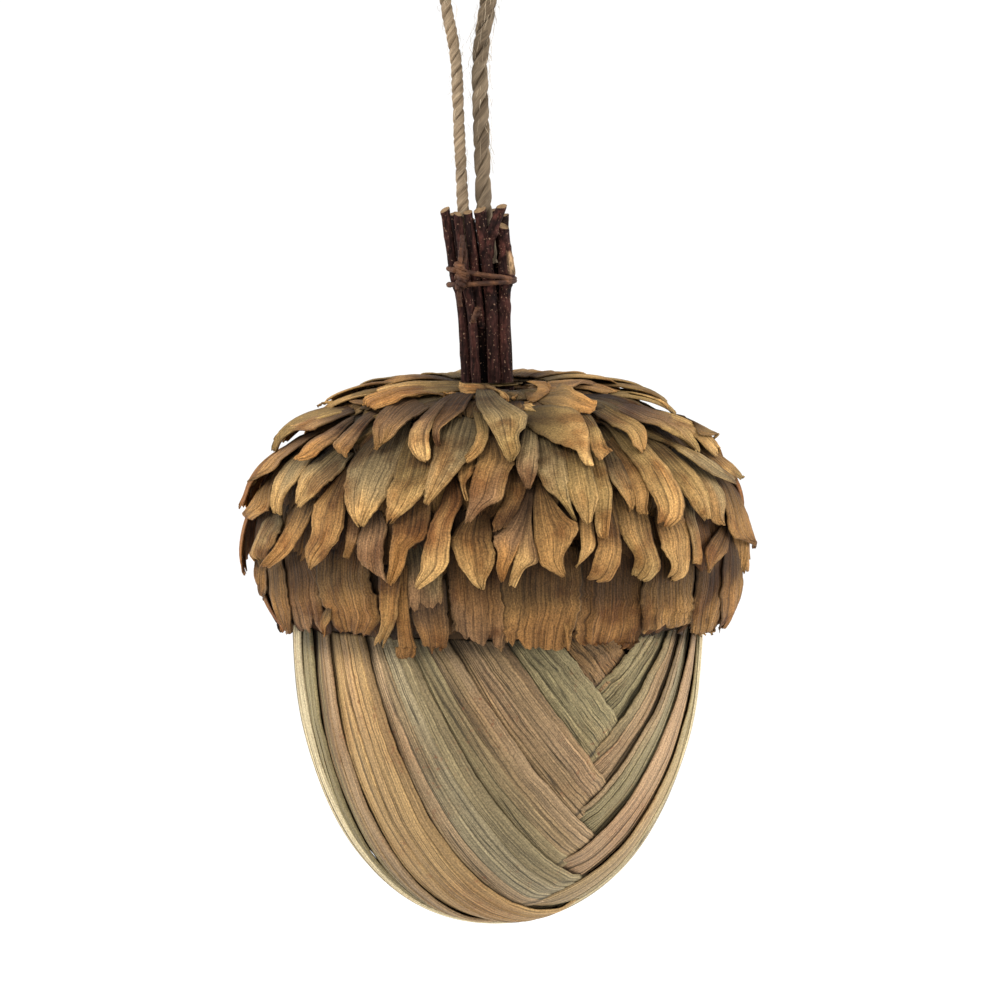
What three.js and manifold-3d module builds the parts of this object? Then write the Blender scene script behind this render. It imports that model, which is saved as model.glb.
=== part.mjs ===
// A hanging acorn ornament: a nut wrapped in husk strips, a cap of dried petals, a stem of twigs tied
// with wire, and a twine loop. Millimetres and degrees, +Z up, the front faces -Y. The origin is the
// inner top of the twine loop, where the ornament hangs.
import * as THREE from 'three';
import { mergeVertices } from 'three/addons/utils/BufferGeometryUtils.js';
import Module from 'manifold-3d';

const wasm = await Module();
wasm.setup();

// Driving dimensions.
const nutDrop = 163; // from the hanging point down to the nut's widest level
const axisOffset = 7.6; // the acorn's axis, to the right of the hanging point
const nutRadius = 50.8;
const nutDepth = 77.8; // from the widest level down to the nut's tip
const nutFullness = 2.2; // 2 is an ellipse, more is squarer
const stripThickness = 2.2;
const stripSlope = 4; // how far a strip's face leans in under the next strip
const beltWidth = 17;
const beltTurn = -84; // where the belt leaves the rim, clockwise from the front
const clearance = 0.3; // between pieces that touch

const capHeight = 18; // the cap's widest level above the nut's
const capRadius = 58.5;
const capRise = 36;
const capFullness = 2.3;
const capLedge = 19.5; // the form's underside, below the cap's widest level
const rimTipDrop = 5.2; // the rim petals hang this far below the form's underside
const rimTipStandOff = 0.6; // between the rim petals' tips and the nut

const stemReach = 46.5; // from the cap form's top to the twigs' cut tops
const stemSink = 9; // the twigs' feet inside the form
const stemFootOffset = -2; // the bundle's foot, to the left of the acorn's axis
const footSpread = 8.2; // radius of the socket in the form
const wireRadius = 0.6;
const wireDrop = 16.5; // the wire's middle level below the twigs' tops
const twineRadius = 1.4;

const roundSides = 32;
const profileSteps = 8;
const sliver = 0.08; // faces are merged where that moves the surface by less than this

const straw = { roughness: 0.72, metalness: 0 };
const huskPink = new THREE.MeshStandardMaterial({ color: 0xb39a7c, ...straw });
const huskGreen = new THREE.MeshStandardMaterial({ color: 0x8f8b6e, ...straw });
const huskYellow = new THREE.MeshStandardMaterial({ color: 0xab9264, ...straw });
const petalOlive = new THREE.MeshStandardMaterial({ color: 0x8d7646, roughness: 0.8 });
const petalBrown = new THREE.MeshStandardMaterial({ color: 0x8a6138, roughness: 0.8 });
const bark = new THREE.MeshStandardMaterial({ color: 0x40211a, roughness: 0.75 });
const rust = new THREE.MeshStandardMaterial({ color: 0x5a3a22, roughness: 0.9 });
const jute = new THREE.MeshStandardMaterial({ color: 0xab9274, roughness: 0.95 });
const darkForm = new THREE.MeshStandardMaterial({ color: 0x2a2018, roughness: 0.95 });

const radians = THREE.MathUtils.degToRad;

// A number from 0 to 1 that is always the same for the same pair of whole numbers.
function chance(i, k) {
  const v = Math.sin(i * 12.9898 + k * 78.233) * 43758.5453;
  return v - Math.floor(v);
}

// A geometry as a solid for joining and cutting, with its faces turned out.
function solid(geometry) {
  const bare = new THREE.BufferGeometry();
  bare.setAttribute('position', geometry.getAttribute('position'));
  bare.setIndex(geometry.index);
  const merged = mergeVertices(bare, 1e-4);
  const corner = [new THREE.Vector3(), new THREE.Vector3(), new THREE.Vector3()];
  const position = merged.getAttribute('position');
  const faces = [];
  let volume = 0;
  for (let i = 0; i < merged.index.count; i += 3) {
    const [a, b, c] = [0, 1, 2].map((k) => merged.index.getX(i + k));
    if (a === b || b === c || c === a) continue;
    [a, b, c].forEach((n, k) => corner[k].fromBufferAttribute(position, n));
    volume += corner[0].dot(corner[1].cross(corner[2]));
    faces.push([a, b, c]);
  }
  const turned = faces.map(([a, b, c]) => (volume < 0 ? [a, c, b] : [a, b, c]));
  return new wasm.Manifold(new wasm.Mesh({
    numProp: 3,
    vertProperties: new Float32Array(position.array),
    triVerts: new Uint32Array(turned.flat()),
  }));
}

// A solid's geometry, without the slivers that joining and cutting leave.
function geometryOf(body) {
  const mesh = body.simplify(sliver).getMesh();
  const geometry = new THREE.BufferGeometry();
  geometry.setAttribute('position', new THREE.BufferAttribute(new Float32Array(mesh.vertProperties), 3));
  geometry.setIndex(new THREE.BufferAttribute(new Uint32Array(mesh.triVerts), 1));
  return geometry;
}

function named(name, geometry, material) {
  const mesh = new THREE.Mesh(geometry, material);
  mesh.name = name;
  return mesh;
}

// The radius of a rounded profile at a height above or below its widest level.
function profileRadius(height, radius, reach, fullness) {
  const share = Math.min(1, Math.abs(height) / reach);
  return radius * Math.pow(1 - Math.pow(share, fullness), 1 / fullness);
}

// Points of a rounded profile from one turn to another, 0 at the widest level and 90 at the tip.
function profilePoints(radius, reach, fullness, from, to, steps) {
  const points = [];
  for (let i = 0; i <= steps; i += 1) {
    const turn = radians(from + ((to - from) * i) / steps);
    const out = radius * Math.pow(Math.abs(Math.cos(turn)), 2 / fullness);
    const up = reach * Math.pow(Math.abs(Math.sin(turn)), 2 / fullness) * Math.sign(turn);
    points.push(new THREE.Vector2(Math.abs(turn) > radians(89.9) ? 0 : out, up));
  }
  return points;
}

function turnedSolid(points) {
  return new THREE.LatheGeometry(points, roundSides).rotateX(Math.PI / 2);
}

// A direction from the nut's middle: turned round from the front, and tipped up from straight down.
function direction(turn, tip) {
  const [t, p] = [radians(turn), radians(tip)];
  return new THREE.Vector3(Math.sin(t) * Math.sin(p), -Math.cos(t) * Math.sin(p), -Math.cos(p));
}

// All that lies on the far side of a plane, along its normal and past a distance from the middle.
function halfSpace(normal, distance) {
  const size = 4 * (nutRadius + nutDepth);
  const block = new THREE.BoxGeometry(size, size, size).translate(0, 0, size / 2 + distance);
  const turn = new THREE.Quaternion().setFromUnitVectors(new THREE.Vector3(0, 0, 1), normal);
  return solid(block.applyQuaternion(turn));
}

// The dark form: the cap's dome, its flat underside and the nut, with a socket for the stem.
const capTop = capHeight + capRise;
const ledgeHeight = capHeight - capLedge;
const coreRadius = nutRadius - stripThickness - clearance;
const coreDepth = nutDepth - stripThickness - clearance;
const ledgeTurn = -THREE.MathUtils.radToDeg(Math.asin(Math.pow(capLedge / capRise, capFullness / 2)));
const socketHeight = capTop - stemSink - clearance;

function makeForm() {
  const dome = profilePoints(capRadius, capRise, capFullness, 90, ledgeTurn, profileSteps)
    .map((p) => p.add(new THREE.Vector2(0, capHeight)));
  const neck = profileRadius(ledgeHeight, coreRadius, coreDepth, nutFullness);
  const nut = profilePoints(coreRadius, coreDepth, nutFullness, -10, -90, profileSteps);
  const outline = [...dome, new THREE.Vector2(neck, ledgeHeight), ...nut];
  const socketSize = 2 * stemSink;
  const socket = new THREE.CylinderGeometry(footSpread, footSpread, socketSize, 12)
    .rotateX(Math.PI / 2)
    .translate(stemFootOffset, 0, socketHeight + socketSize / 2);
  return geometryOf(solid(turnedSolid(outline)).subtract(solid(socket)));
}

// The husk strips. Each one's upper edge is a plane through the nut's middle, from a place on the rim
// to a place on the spine where the left and right strips meet.
const spineTurn = 32;
const frontLeft = [
  { rim: 14.2, spine: 69.8 },
  { rim: -0.1, spine: 52.4 },
  { rim: -15.2, spine: 39.4 },
  { rim: -27.1, spine: 28.2 },
  { rim: -40.2, spine: 15.9 },
  { rim: -54.8, spine: 6.3 },
  { rim: -63.5, spine: 2 },
];
const frontRight = [
  { rim: 45.4, spine: 77.3 },
  { rim: 57.2, spine: 60.1 },
  { rim: 65.4, spine: 46.5 },
  { rim: 73.2, spine: 33.9 },
  { rim: 83.1, spine: 22.1 },
];
const backLeft = [
  { rim: 12, spine: 66 },
  { rim: -10, spine: 44 },
  { rim: -32, spine: 26 },
  { rim: -54, spine: 9 },
];
const backRight = [
  { rim: 48, spine: 74 },
  { rim: 61, spine: 52 },
  { rim: 75, spine: 31 },
];

// The nut's rounded body, closed flat above its widest level.
function nutBody(radius, depth) {
  const outline = profilePoints(radius, depth, nutFullness, 30, -90, profileSteps + 4);
  return turnedSolid([new THREE.Vector2(0, outline[0].y), ...outline]);
}

const nutOuter = nutBody(nutRadius, nutDepth);
const nutInner = solid(nutBody(coreRadius + clearance, coreDepth + clearance));

function edgeNormal(edge, spine, turn) {
  const rim = direction(edge.rim + turn, 90);
  const normal = rim.cross(direction(spine + turn, edge.spine)).normalize();
  return normal.z < 0 ? normal.negate() : normal;
}

// A strip is the nut's shell below its own edge and above the edges of the strips laid over it.
function strip(own, covering, side) {
  const shift = own ? own.clone().multiplyScalar(stripSlope) : direction(30, 80).multiplyScalar(-1);
  let body = solid(nutOuter.clone().translate(shift.x, shift.y, shift.z));
  body = body.subtract(nutInner);
  body = body.intersect(halfSpace(new THREE.Vector3(0, 0, -1), clearance - ledgeHeight));
  if (own) body = body.intersect(halfSpace(own.clone().negate(), clearance / 2));
  covering.forEach((edge) => {
    body = body.intersect(halfSpace(edge, clearance / 2));
  });
  if (side) body = body.intersect(halfSpace(side, beltWidth / 2 + clearance));
  const pieces = body.decompose().sort((a, b) => b.volume() - a.volume());
  return geometryOf(pieces[0]);
}

function makeStrips(prefix, left, right, turn, side, colours) {
  const leftEdges = left.map((edge) => edgeNormal(edge, spineTurn, turn));
  const rightEdges = right.map((edge) => edgeNormal(edge, spineTurn, turn));
  const meshes = [];
  for (let k = 0; k <= left.length; k += 1) {
    const own = k ? leftEdges[k - 1] : null;
    const covering = [leftEdges[k], rightEdges[k]].filter(Boolean);
    const name = `${prefix}_left_${k}`;
    meshes.push(named(name, strip(own, covering, side), colours[k % colours.length]));
  }
  for (let k = 1; k <= right.length; k += 1) {
    const covering = [rightEdges[k], leftEdges[k - 1]].filter(Boolean);
    const name = `${prefix}_right_${k}`;
    meshes.push(named(name, strip(rightEdges[k - 1], covering, side), colours[(k + 1) % colours.length]));
  }
  return meshes;
}

function makeBelt(frontNormal) {
  let body = solid(nutOuter).subtract(nutInner);
  body = body.intersect(halfSpace(new THREE.Vector3(0, 0, -1), clearance - ledgeHeight));
  body = body.intersect(halfSpace(frontNormal, -beltWidth / 2));
  body = body.intersect(halfSpace(frontNormal.clone().negate(), -beltWidth / 2));
  return geometryOf(body);
}

// The cap's petals. A petal's place is its turn round the axis and its distance along the cap's line,
// which runs from the stem's foot down over the dome to the rim petals' tips.
const rimTipHeight = ledgeHeight - rimTipDrop;
const rimTipRadius = nutRadius + rimTipStandOff + clearance;
const capLine = new THREE.SplineCurve([
  ...profilePoints(capRadius, capRise, capFullness, 88, ledgeTurn, 16)
    .map((p) => p.add(new THREE.Vector2(0, capHeight))),
  new THREE.Vector2(rimTipRadius, rimTipHeight),
]);
const capLength = capLine.getLength();

// One row for each line of tips: the tips' distance from the rim along the cap, and the petals' size.
const petalRows = [
  { name: 'petals_rim', count: 34, tip: 0, length: 25, width: 13.2, lift: 2.6, curl: -2.6 },
  { name: 'petals_row_2', count: 33, tip: 18, length: 23, width: 14.6, lift: 3.2, curl: 0.6 },
  { name: 'petals_row_3', count: 31, tip: 31, length: 22, width: 14.8, lift: 3.4, curl: 1.2 },
  { name: 'petals_row_4', count: 27, tip: 44.5, length: 23, width: 15, lift: 3.9, curl: 1.6 },
  { name: 'petals_row_5', count: 21, tip: 58, length: 23, width: 14.6, lift: 4, curl: 1.6 },
  { name: 'petals_row_6', count: 14, tip: 71.5, length: 19, width: 13.6, lift: 4, curl: 1 },
  { name: 'petals_collar', count: 8, tip: 83, length: 9.5, width: 15.5, lift: 1.6, curl: 0.8,
    base: 2.7 },
];
const petalThickness = 1.1;
const seamThickness = 0.6; // where neighbours are joined
const seamEnd = 0.5; // share of the length at which neighbours part
const shoulder = { along: 0.8, width: 0.66 };

function onCap(turn, along, across, out) {
  const share = THREE.MathUtils.clamp(along / capLength, 0, 1);
  const place = capLine.getPointAt(share);
  const run = capLine.getTangentAt(share);
  const radius = place.x - run.y * out;
  const angle = turn + across / Math.max(place.x, 12);
  return new THREE.Vector3(radius * Math.sin(angle), -radius * Math.cos(angle), place.y + run.x * out);
}

// The i-th petal of a row: its turn, the places of its root and tip along the cap, and its lift.
function petalPlace(row, rowNumber, i) {
  const pitch = (2 * Math.PI) / row.count;
  const length = row.length * (1 + 0.1 * (chance(i, rowNumber + 20) - 0.5));
  const tip = capLength - row.tip - 2.4 * chance(i, rowNumber + 40);
  return {
    turn: pitch * (i + 0.5 * (rowNumber % 2) + 0.2 * (chance(i, rowNumber) - 0.5)),
    root: tip - length,
    length,
    lift: row.lift * (1 + 0.24 * (chance(i, rowNumber + 60) - 0.5)),
  };
}

// A row of petals is one closed ring: ribs at the petals' middles, seams between neighbours, and tips
// that stand free below the seams.
function petalRow(row, rowNumber) {
  const points = [];
  const faces = [];
  const rise = (place, share) => (
    clearance + petalThickness / 2 + (row.base ?? 0) + place.lift * share + row.curl * share ** 3);
  const point = (place, turn, share, across, out) => (
    points.push(onCap(turn, place.root + place.length * share, across, rise(place, share) + out)) - 1);
  const pair = (place, turn, share, thickness) => (
    [thickness / 2, -thickness / 2].map((out) => point(place, turn, share, 0, out)));
  const places = [...Array(row.count).keys()].map((i) => petalPlace(row, rowNumber, i));
  const ribs = places.map((place) => ({
    root: pair(place, place.turn, 0, petalThickness),
    middle: pair(place, place.turn, seamEnd, petalThickness),
    left: point(place, place.turn, shoulder.along, (-row.width / 2) * shoulder.width, 0),
    right: point(place, place.turn, shoulder.along, (row.width / 2) * shoulder.width, 0),
    tip: point(place, place.turn, 1, 0, 0),
  }));
  const seams = places.map((place, i) => {
    const next = places[(i + 1) % row.count];
    const round = i === row.count - 1 ? 2 * Math.PI : 0;
    const turn = (place.turn + next.turn + round) / 2;
    const between = {};
    ['root', 'length', 'lift'].forEach((key) => { between[key] = (place[key] + next[key]) / 2; });
    return { root: pair(between, turn, 0, seamThickness), end: pair(between, turn, seamEnd, seamThickness) };
  });
  const face = (...corners) => {
    for (let k = 1; k < corners.length - 1; k += 1) faces.push(corners[0], corners[k], corners[k + 1]);
  };
  ribs.forEach((rib, i) => {
    const right = seams[i];
    const left = seams[(i + row.count - 1) % row.count];
    [0, 1].forEach((side) => {
      const skin = (...corners) => face(...(side ? corners.reverse() : corners));
      skin(left.root[side], left.end[side], rib.middle[side], rib.root[side]);
      skin(rib.root[side], rib.middle[side], right.end[side], right.root[side]);
      skin(left.end[side], rib.left, rib.middle[side]);
      skin(rib.left, rib.tip, rib.middle[side]);
      skin(rib.middle[side], rib.right, right.end[side]);
      skin(rib.middle[side], rib.tip, rib.right);
    });
    face(left.root[0], rib.root[0], rib.root[1], left.root[1]);
    face(rib.root[0], right.root[0], right.root[1], rib.root[1]);
    face(left.end[0], left.end[1], rib.left);
    face(right.end[1], right.end[0], rib.right);
  });
  const geometry = new THREE.BufferGeometry().setFromPoints(points);
  geometry.setIndex(faces);
  return geometry;
}

// The petals nearest the stem stop at it.
const stemSpace = solid(new THREE.CylinderGeometry(footSpread, footSpread, capRise, 12)
  .rotateX(Math.PI / 2)
  .translate(stemFootOffset, 0, capTop));

function makePetals(row, rowNumber) {
  return geometryOf(solid(petalRow(row, rowNumber)).subtract(stemSpace));
}

// Twigs: a round bar bent along its line, thicker at its nodes, with a slanting cut at its top.
function twig({ line, depth, radius, slant = 0, node = 0 }) {
  const path = new THREE.CatmullRomCurve3(line.map(([x, z], k) => (
    new THREE.Vector3(x, depth[Math.min(k, depth.length - 1)], z))));
  const [sides, steps] = [7, 5];
  const bar = new THREE.CylinderGeometry(1, 1, 1, sides, steps);
  const position = bar.getAttribute('position');
  for (let n = 0; n < position.count; n += 1) {
    const share = 0.5 - position.getY(n);
    const middle = path.getPointAt(share);
    const knot = 1 + node * Math.exp(-(((share - 0.62) / 0.08) ** 2));
    const size = radius * (1 + 0.1 * share) * knot;
    const [x, y] = [position.getX(n) * size, -position.getZ(n) * size];
    const tilt = share < 0.01 ? slant * x : 0;
    position.setXYZ(n, middle.x + x, middle.y + y, middle.z + tilt);
  }
  return bar;
}

const top = stemReach;
const foot = -stemSink;
const tieLevel = top - wireDrop;
const twigs = {
  twig_left: { line: [[-13.1, top], [-10.7, tieLevel], [-8.8, 21], [-7.2, foot]],
    depth: [-2.3, -1.3, -2.2, -2.7], radius: 1.05, slant: 0.5 },
  twig_torn: { line: [[-9.9, top - 1], [-8.1, tieLevel], [-6.2, 18], [-4.7, foot]],
    depth: [-3.4, -3.9, -4, -3.6], radius: 1.05, slant: -0.3, node: 0.2 },
  twig_slim: { line: [[-7.4, top - 0.6], [-5.5, tieLevel], [-4.2, 19], [-3.9, 17]],
    depth: [-2.9, -2.8, -2.5, -2.4], radius: 0.95, slant: 0.2 },
  twig_right: { line: [[1.3, top - 4], [1.8, tieLevel + 1], [1.7, 21], [3, foot]],
    depth: [-2.6, -2.3, -2.6, -2.8], radius: 1.25, slant: -0.3, node: 0.1 },
  twig_behind_1: { line: [[-10.6, top - 1], [-8.6, tieLevel], [-7, 20], [-6, foot]],
    depth: [2.8], radius: 1.1, slant: 0.2 },
  twig_behind_2: { line: [[-7.4, top - 2], [-5.6, tieLevel], [-4.2, 20], [-3.2, foot]],
    depth: [2.9], radius: 1.15, slant: -0.3 },
  twig_behind_3: { line: [[-1.9, top - 0.4], [-2.4, tieLevel], [-1.4, 20], [-0.4, foot]],
    depth: [2.9], radius: 1.2, slant: 0.3 },
  twig_behind_4: { line: [[1.2, top - 1.5], [0.6, tieLevel], [1.4, 20], [2.4, foot]],
    depth: [2.7], radius: 1.1, slant: 0.2 },
};
const forkStem = { line: [[-4.4, top], [-2.3, tieLevel], [-1.4, 20], [-0.3, foot]],
  depth: [-3], radius: 1.25, slant: 0.3 };
const forkBranch = { line: [[1, top + 0.8], [-0.7, top - 3.6], [-2, top - 8], [-2.4, top - 12]],
  depth: [-4.2, -3.8, -3.3, -3], radius: 1, slant: 0.2 };

// The wire: two turns round the twigs that meet at the right, a twisted knot at the left and two tails.
function tube(points, radius, sides, steps) {
  const section = new THREE.Shape();
  for (let i = 0; i < sides; i += 1) {
    const angle = (2 * Math.PI * i) / sides;
    section[i ? 'lineTo' : 'moveTo'](radius * Math.cos(angle), radius * Math.sin(angle));
  }
  section.closePath();
  const extrudePath = new THREE.CatmullRomCurve3(points);
  return new THREE.ExtrudeGeometry(section, { steps, extrudePath, curveSegments: 1 });
}

const tieMiddle = { x: -3.7, y: -0.5 };
const tieHalfWidth = 9.1;
const tieHalfDepth = 6.5;
const knotX = -9.3;
const knotY = -6.6;

function wireTurn(leftLevel, rightLevel) {
  const ring = new THREE.TorusGeometry(tieHalfWidth, wireRadius, 5, 20);
  const position = ring.getAttribute('position');
  for (let n = 0; n < position.count; n += 1) {
    const angle = Math.atan2(position.getY(n), position.getX(n));
    const narrowed = (tieHalfDepth - tieHalfWidth) * Math.sin(angle);
    const level = (rightLevel + leftLevel) / 2 + ((rightLevel - leftLevel) / 2) * Math.cos(angle);
    position.setY(n, position.getY(n) + narrowed);
    position.setZ(n, position.getZ(n) + level);
  }
  return ring.translate(tieMiddle.x, tieMiddle.y, 0);
}

function wireTie() {
  const knot = twig({ line: [[knotX - 0.2, tieLevel + 3.2], [knotX + 0.4, tieLevel], [knotX, tieLevel - 3]],
    depth: [knotY], radius: 1.2, node: 0.25 });
  const upTail = [[knotX + 0.7, knotY + 0.7, tieLevel + 10.3], [knotX + 0.3, knotY + 0.4, tieLevel + 6.5],
    [knotX - 0.1, knotY, tieLevel + 2.4]];
  const downTail = [[knotX, knotY, tieLevel - 2.2], [knotX - 0.2, knotY + 0.5, tieLevel - 4.8],
    [knotX, knotY + 1, tieLevel - 7.4]];
  const tails = [upTail, downTail].map((tail) => (
    solid(tube(tail.map((p) => new THREE.Vector3(...p)), wireRadius, 5, 4))));
  return geometryOf(wasm.Manifold.union([
    solid(wireTurn(tieLevel + 1.8, tieLevel - 0.7)),
    solid(wireTurn(tieLevel - 2.2, tieLevel - 1.2)),
    solid(knot),
    ...tails,
  ]));
}

// The twine's route, from its end inside the bundle up round the loop and down into the bundle again.
// It is given from the hanging point.
const twineRoute = [
  [0.3, 0, -80], [-0.1, 0, -75], [-0.6, 0, -69], [-1, 0, -62], [-1.4, 0, -54], [-1.9, 0, -44],
  [-2.3, 0, -34], [-2.6, 0, -27], [-3.6, 0, -20], [-4.9, 0, -13.5], [-5.6, 0, -8], [-5.7, 0, -4.3],
  [-4.9, 0, -1.4], [-2.85, 0, 0.64], [0, 0, 1.4], [2.85, 0, 0.64], [4.9, 0, -1.4], [5.7, 0, -4.3],
  [5.6, 0, -8], [4.9, 0, -13.5], [3.8, 0, -20], [3.2, 0, -27], [3.3, 0, -34], [3.6, 0, -44],
  [3.9, 0, -54], [4.2, 0, -62], [4.9, 0, -69], [5.8, 0, -76],
];

const part = new THREE.Group();
const acorn = new THREE.Group();
acorn.position.set(axisOffset, 0, -nutDrop);
part.add(acorn);

acorn.add(named('form', makeForm(), darkForm));
const beltNormal = direction(beltTurn + 90, 90);
const huskColours = [huskPink, huskGreen, huskPink, huskGreen, huskYellow];
acorn.add(...makeStrips('husk', frontLeft, frontRight, 0, beltNormal, huskColours));
acorn.add(...makeStrips('husk_back', backLeft, backRight, 180, beltNormal.clone().negate(), huskColours));
acorn.add(named('husk_belt', makeBelt(beltNormal), huskYellow));
petalRows.forEach((row, r) => {
  acorn.add(named(row.name, makePetals(row, r), r > 1 ? petalOlive : petalBrown));
});

const stem = new THREE.Group();
stem.position.set(0, 0, capTop);
acorn.add(stem);
Object.entries(twigs).forEach(([name, form]) => stem.add(named(name, twig(form), bark)));
const fork = solid(twig(forkStem)).add(solid(twig(forkBranch)));
stem.add(named('twig_forked', geometryOf(fork), bark));
stem.add(named('wire_tie', wireTie(), rust));

const routePoints = twineRoute.map(([x, y, z]) => new THREE.Vector3(x, y, z));
part.add(named('twine_loop', tube(routePoints, twineRadius, 8, 40), jute));

export default part;
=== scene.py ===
"""The looks of a hanging acorn ornament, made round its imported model.

A nut wrapped in husk strips laid as a herringbone, a cap shingled with dried petals, a stem of twigs
tied with paper-covered wire, and a loop of two-ply jute. Lengths are in millimetres until a piece is
made. The front faces -Y, and the origin is where the twine loop hangs.
"""

import math
import random

import bmesh
import bpy
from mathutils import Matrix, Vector, noise


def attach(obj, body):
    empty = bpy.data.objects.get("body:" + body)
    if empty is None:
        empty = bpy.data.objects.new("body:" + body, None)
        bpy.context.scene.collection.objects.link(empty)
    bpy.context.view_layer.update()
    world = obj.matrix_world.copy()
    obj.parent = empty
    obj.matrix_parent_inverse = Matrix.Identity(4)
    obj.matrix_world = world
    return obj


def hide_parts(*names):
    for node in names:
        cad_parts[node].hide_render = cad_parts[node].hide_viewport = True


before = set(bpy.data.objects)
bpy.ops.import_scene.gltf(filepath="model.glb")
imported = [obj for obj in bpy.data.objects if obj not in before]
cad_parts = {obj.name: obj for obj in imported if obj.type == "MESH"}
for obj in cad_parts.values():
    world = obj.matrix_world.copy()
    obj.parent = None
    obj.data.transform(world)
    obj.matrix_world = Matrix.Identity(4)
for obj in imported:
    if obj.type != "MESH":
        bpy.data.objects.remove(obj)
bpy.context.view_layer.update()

MM = 0.001
NUT_MIDDLE = Vector((7.6, 0, -163))  # on the acorn's axis, at the nut's widest level
NUT_RADIUS, NUT_DEPTH, NUT_FULLNESS = 50.8, 77.8, 2.2
CAP_HEIGHT, CAP_RADIUS, CAP_RISE, CAP_FULLNESS = 18, 58.5, 36, 2.3
CAP_TOP = CAP_HEIGHT + CAP_RISE
CAP_LEDGE = 19.5
RIM_TIP = (51.7, -6.7)  # the rim petals' tips, from the nut's middle
STEM_FOOT = Vector((-2, 0, CAP_TOP))
STEM_RADIUS = 8.3


def linear(red, green, blue):
    """A colour as seen on a screen, 0 to 255, as the light that a shader works in."""

    def part(level):
        level /= 255
        return level / 12.92 if level <= 0.04045 else ((level + 0.055) / 1.055) ** 2.4

    return Vector((part(red), part(green), part(blue)))


def dried(red, green, blue):
    """A dried leaf's colour as the photograph shows it, as pigment under this scene's light."""
    colour = linear(red, green, blue)
    return Vector((colour.x * 0.64, colour.y * 0.62, colour.z * 0.57))


def aged(red, green, blue):
    """The same for a petal, which is drier and takes less of the sky's blue."""
    colour = linear(red, green, blue)
    return Vector((colour.x * 0.74, colour.y * 0.66, colour.z * 0.53))


def clamp(value, low, high):
    return min(high, max(low, value))


def smoothstep(low, high, value):
    share = clamp((value - low) / (high - low), 0, 1)
    return share * share * (3 - 2 * share)


def ripple(x, y, seed):
    """A smooth number from about -1 to 1 that wanders with x and y."""
    return noise.noise(Vector((x, y, seed * 7.31)))


def chance(i, k):
    """A number from 0 to 1, always the same for the same pair of whole numbers."""
    value = math.sin(i * 12.9898 + k * 78.233) * 43758.5453
    return value - math.floor(value)


def smooth_line(points, steps):
    """A dense list of points on a smooth line through a few."""
    points = [Vector(p) for p in points]
    ends = [points[0] * 2 - points[1], *points, points[-1] * 2 - points[-2]]
    dense = []
    spans = len(points) - 1
    for step in range(steps + 1):
        span = min(spans - 1, step * spans // steps)
        t = step * spans / steps - span
        a, b, c, d = ends[span : span + 4]
        dense.append(
            (b * 2 + (c - a) * t + (a * 2 - b * 5 + c * 4 - d) * t * t
             + (b * 3 - a - c * 3 + d) * t ** 3) / 2
        )
    return dense


def add_object(name, data):
    thing = bpy.data.objects.new(name, data)
    bpy.context.scene.collection.objects.link(thing)
    return thing


VIEW_MIDDLE, VIEW_DISTANCE, VIEW_RISE = Vector((8.2, 0, -135)), 1200, math.radians(4.5)
VIEW_BACK = Vector((0, -math.cos(VIEW_RISE), math.sin(VIEW_RISE)))
VIEW_UP = Vector((0, math.sin(VIEW_RISE), math.cos(VIEW_RISE)))
FOCUS = 4800  # pixels of the photograph for a millimetre seen from a millimetre away


def set_camera():
    """The photograph's view: 250 mm across at the acorn, from a little above."""
    data = bpy.data.cameras.new("camera")
    data.sensor_width, data.lens = 36, 36 * FOCUS / 1000
    camera = add_object("camera", data)
    camera.location = (VIEW_MIDDLE + VIEW_BACK * VIEW_DISTANCE) * MM
    camera.rotation_euler = (-VIEW_BACK).to_track_quat("-Z", "Y").to_euler()
    bpy.context.scene.camera = camera


def seen_at(point):
    """The photograph's pixel at which a point is seen."""
    away = point - VIEW_MIDDLE - VIEW_BACK * VIEW_DISTANCE
    depth = -away.dot(VIEW_BACK)
    return 500 + FOCUS * away.x / depth, 500 - FOCUS * away.dot(VIEW_UP) / depth


def add_lamp(name, place, width, power):
    data = bpy.data.lights.new(name, "AREA")
    data.shape, data.size, data.energy = "DISK", width, power
    lamp = add_object(name, data)
    lamp.location = place
    lamp.rotation_euler = (Vector((0, 0, -0.14)) - lamp.location).to_track_quat("-Z", "Y").to_euler()


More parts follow.
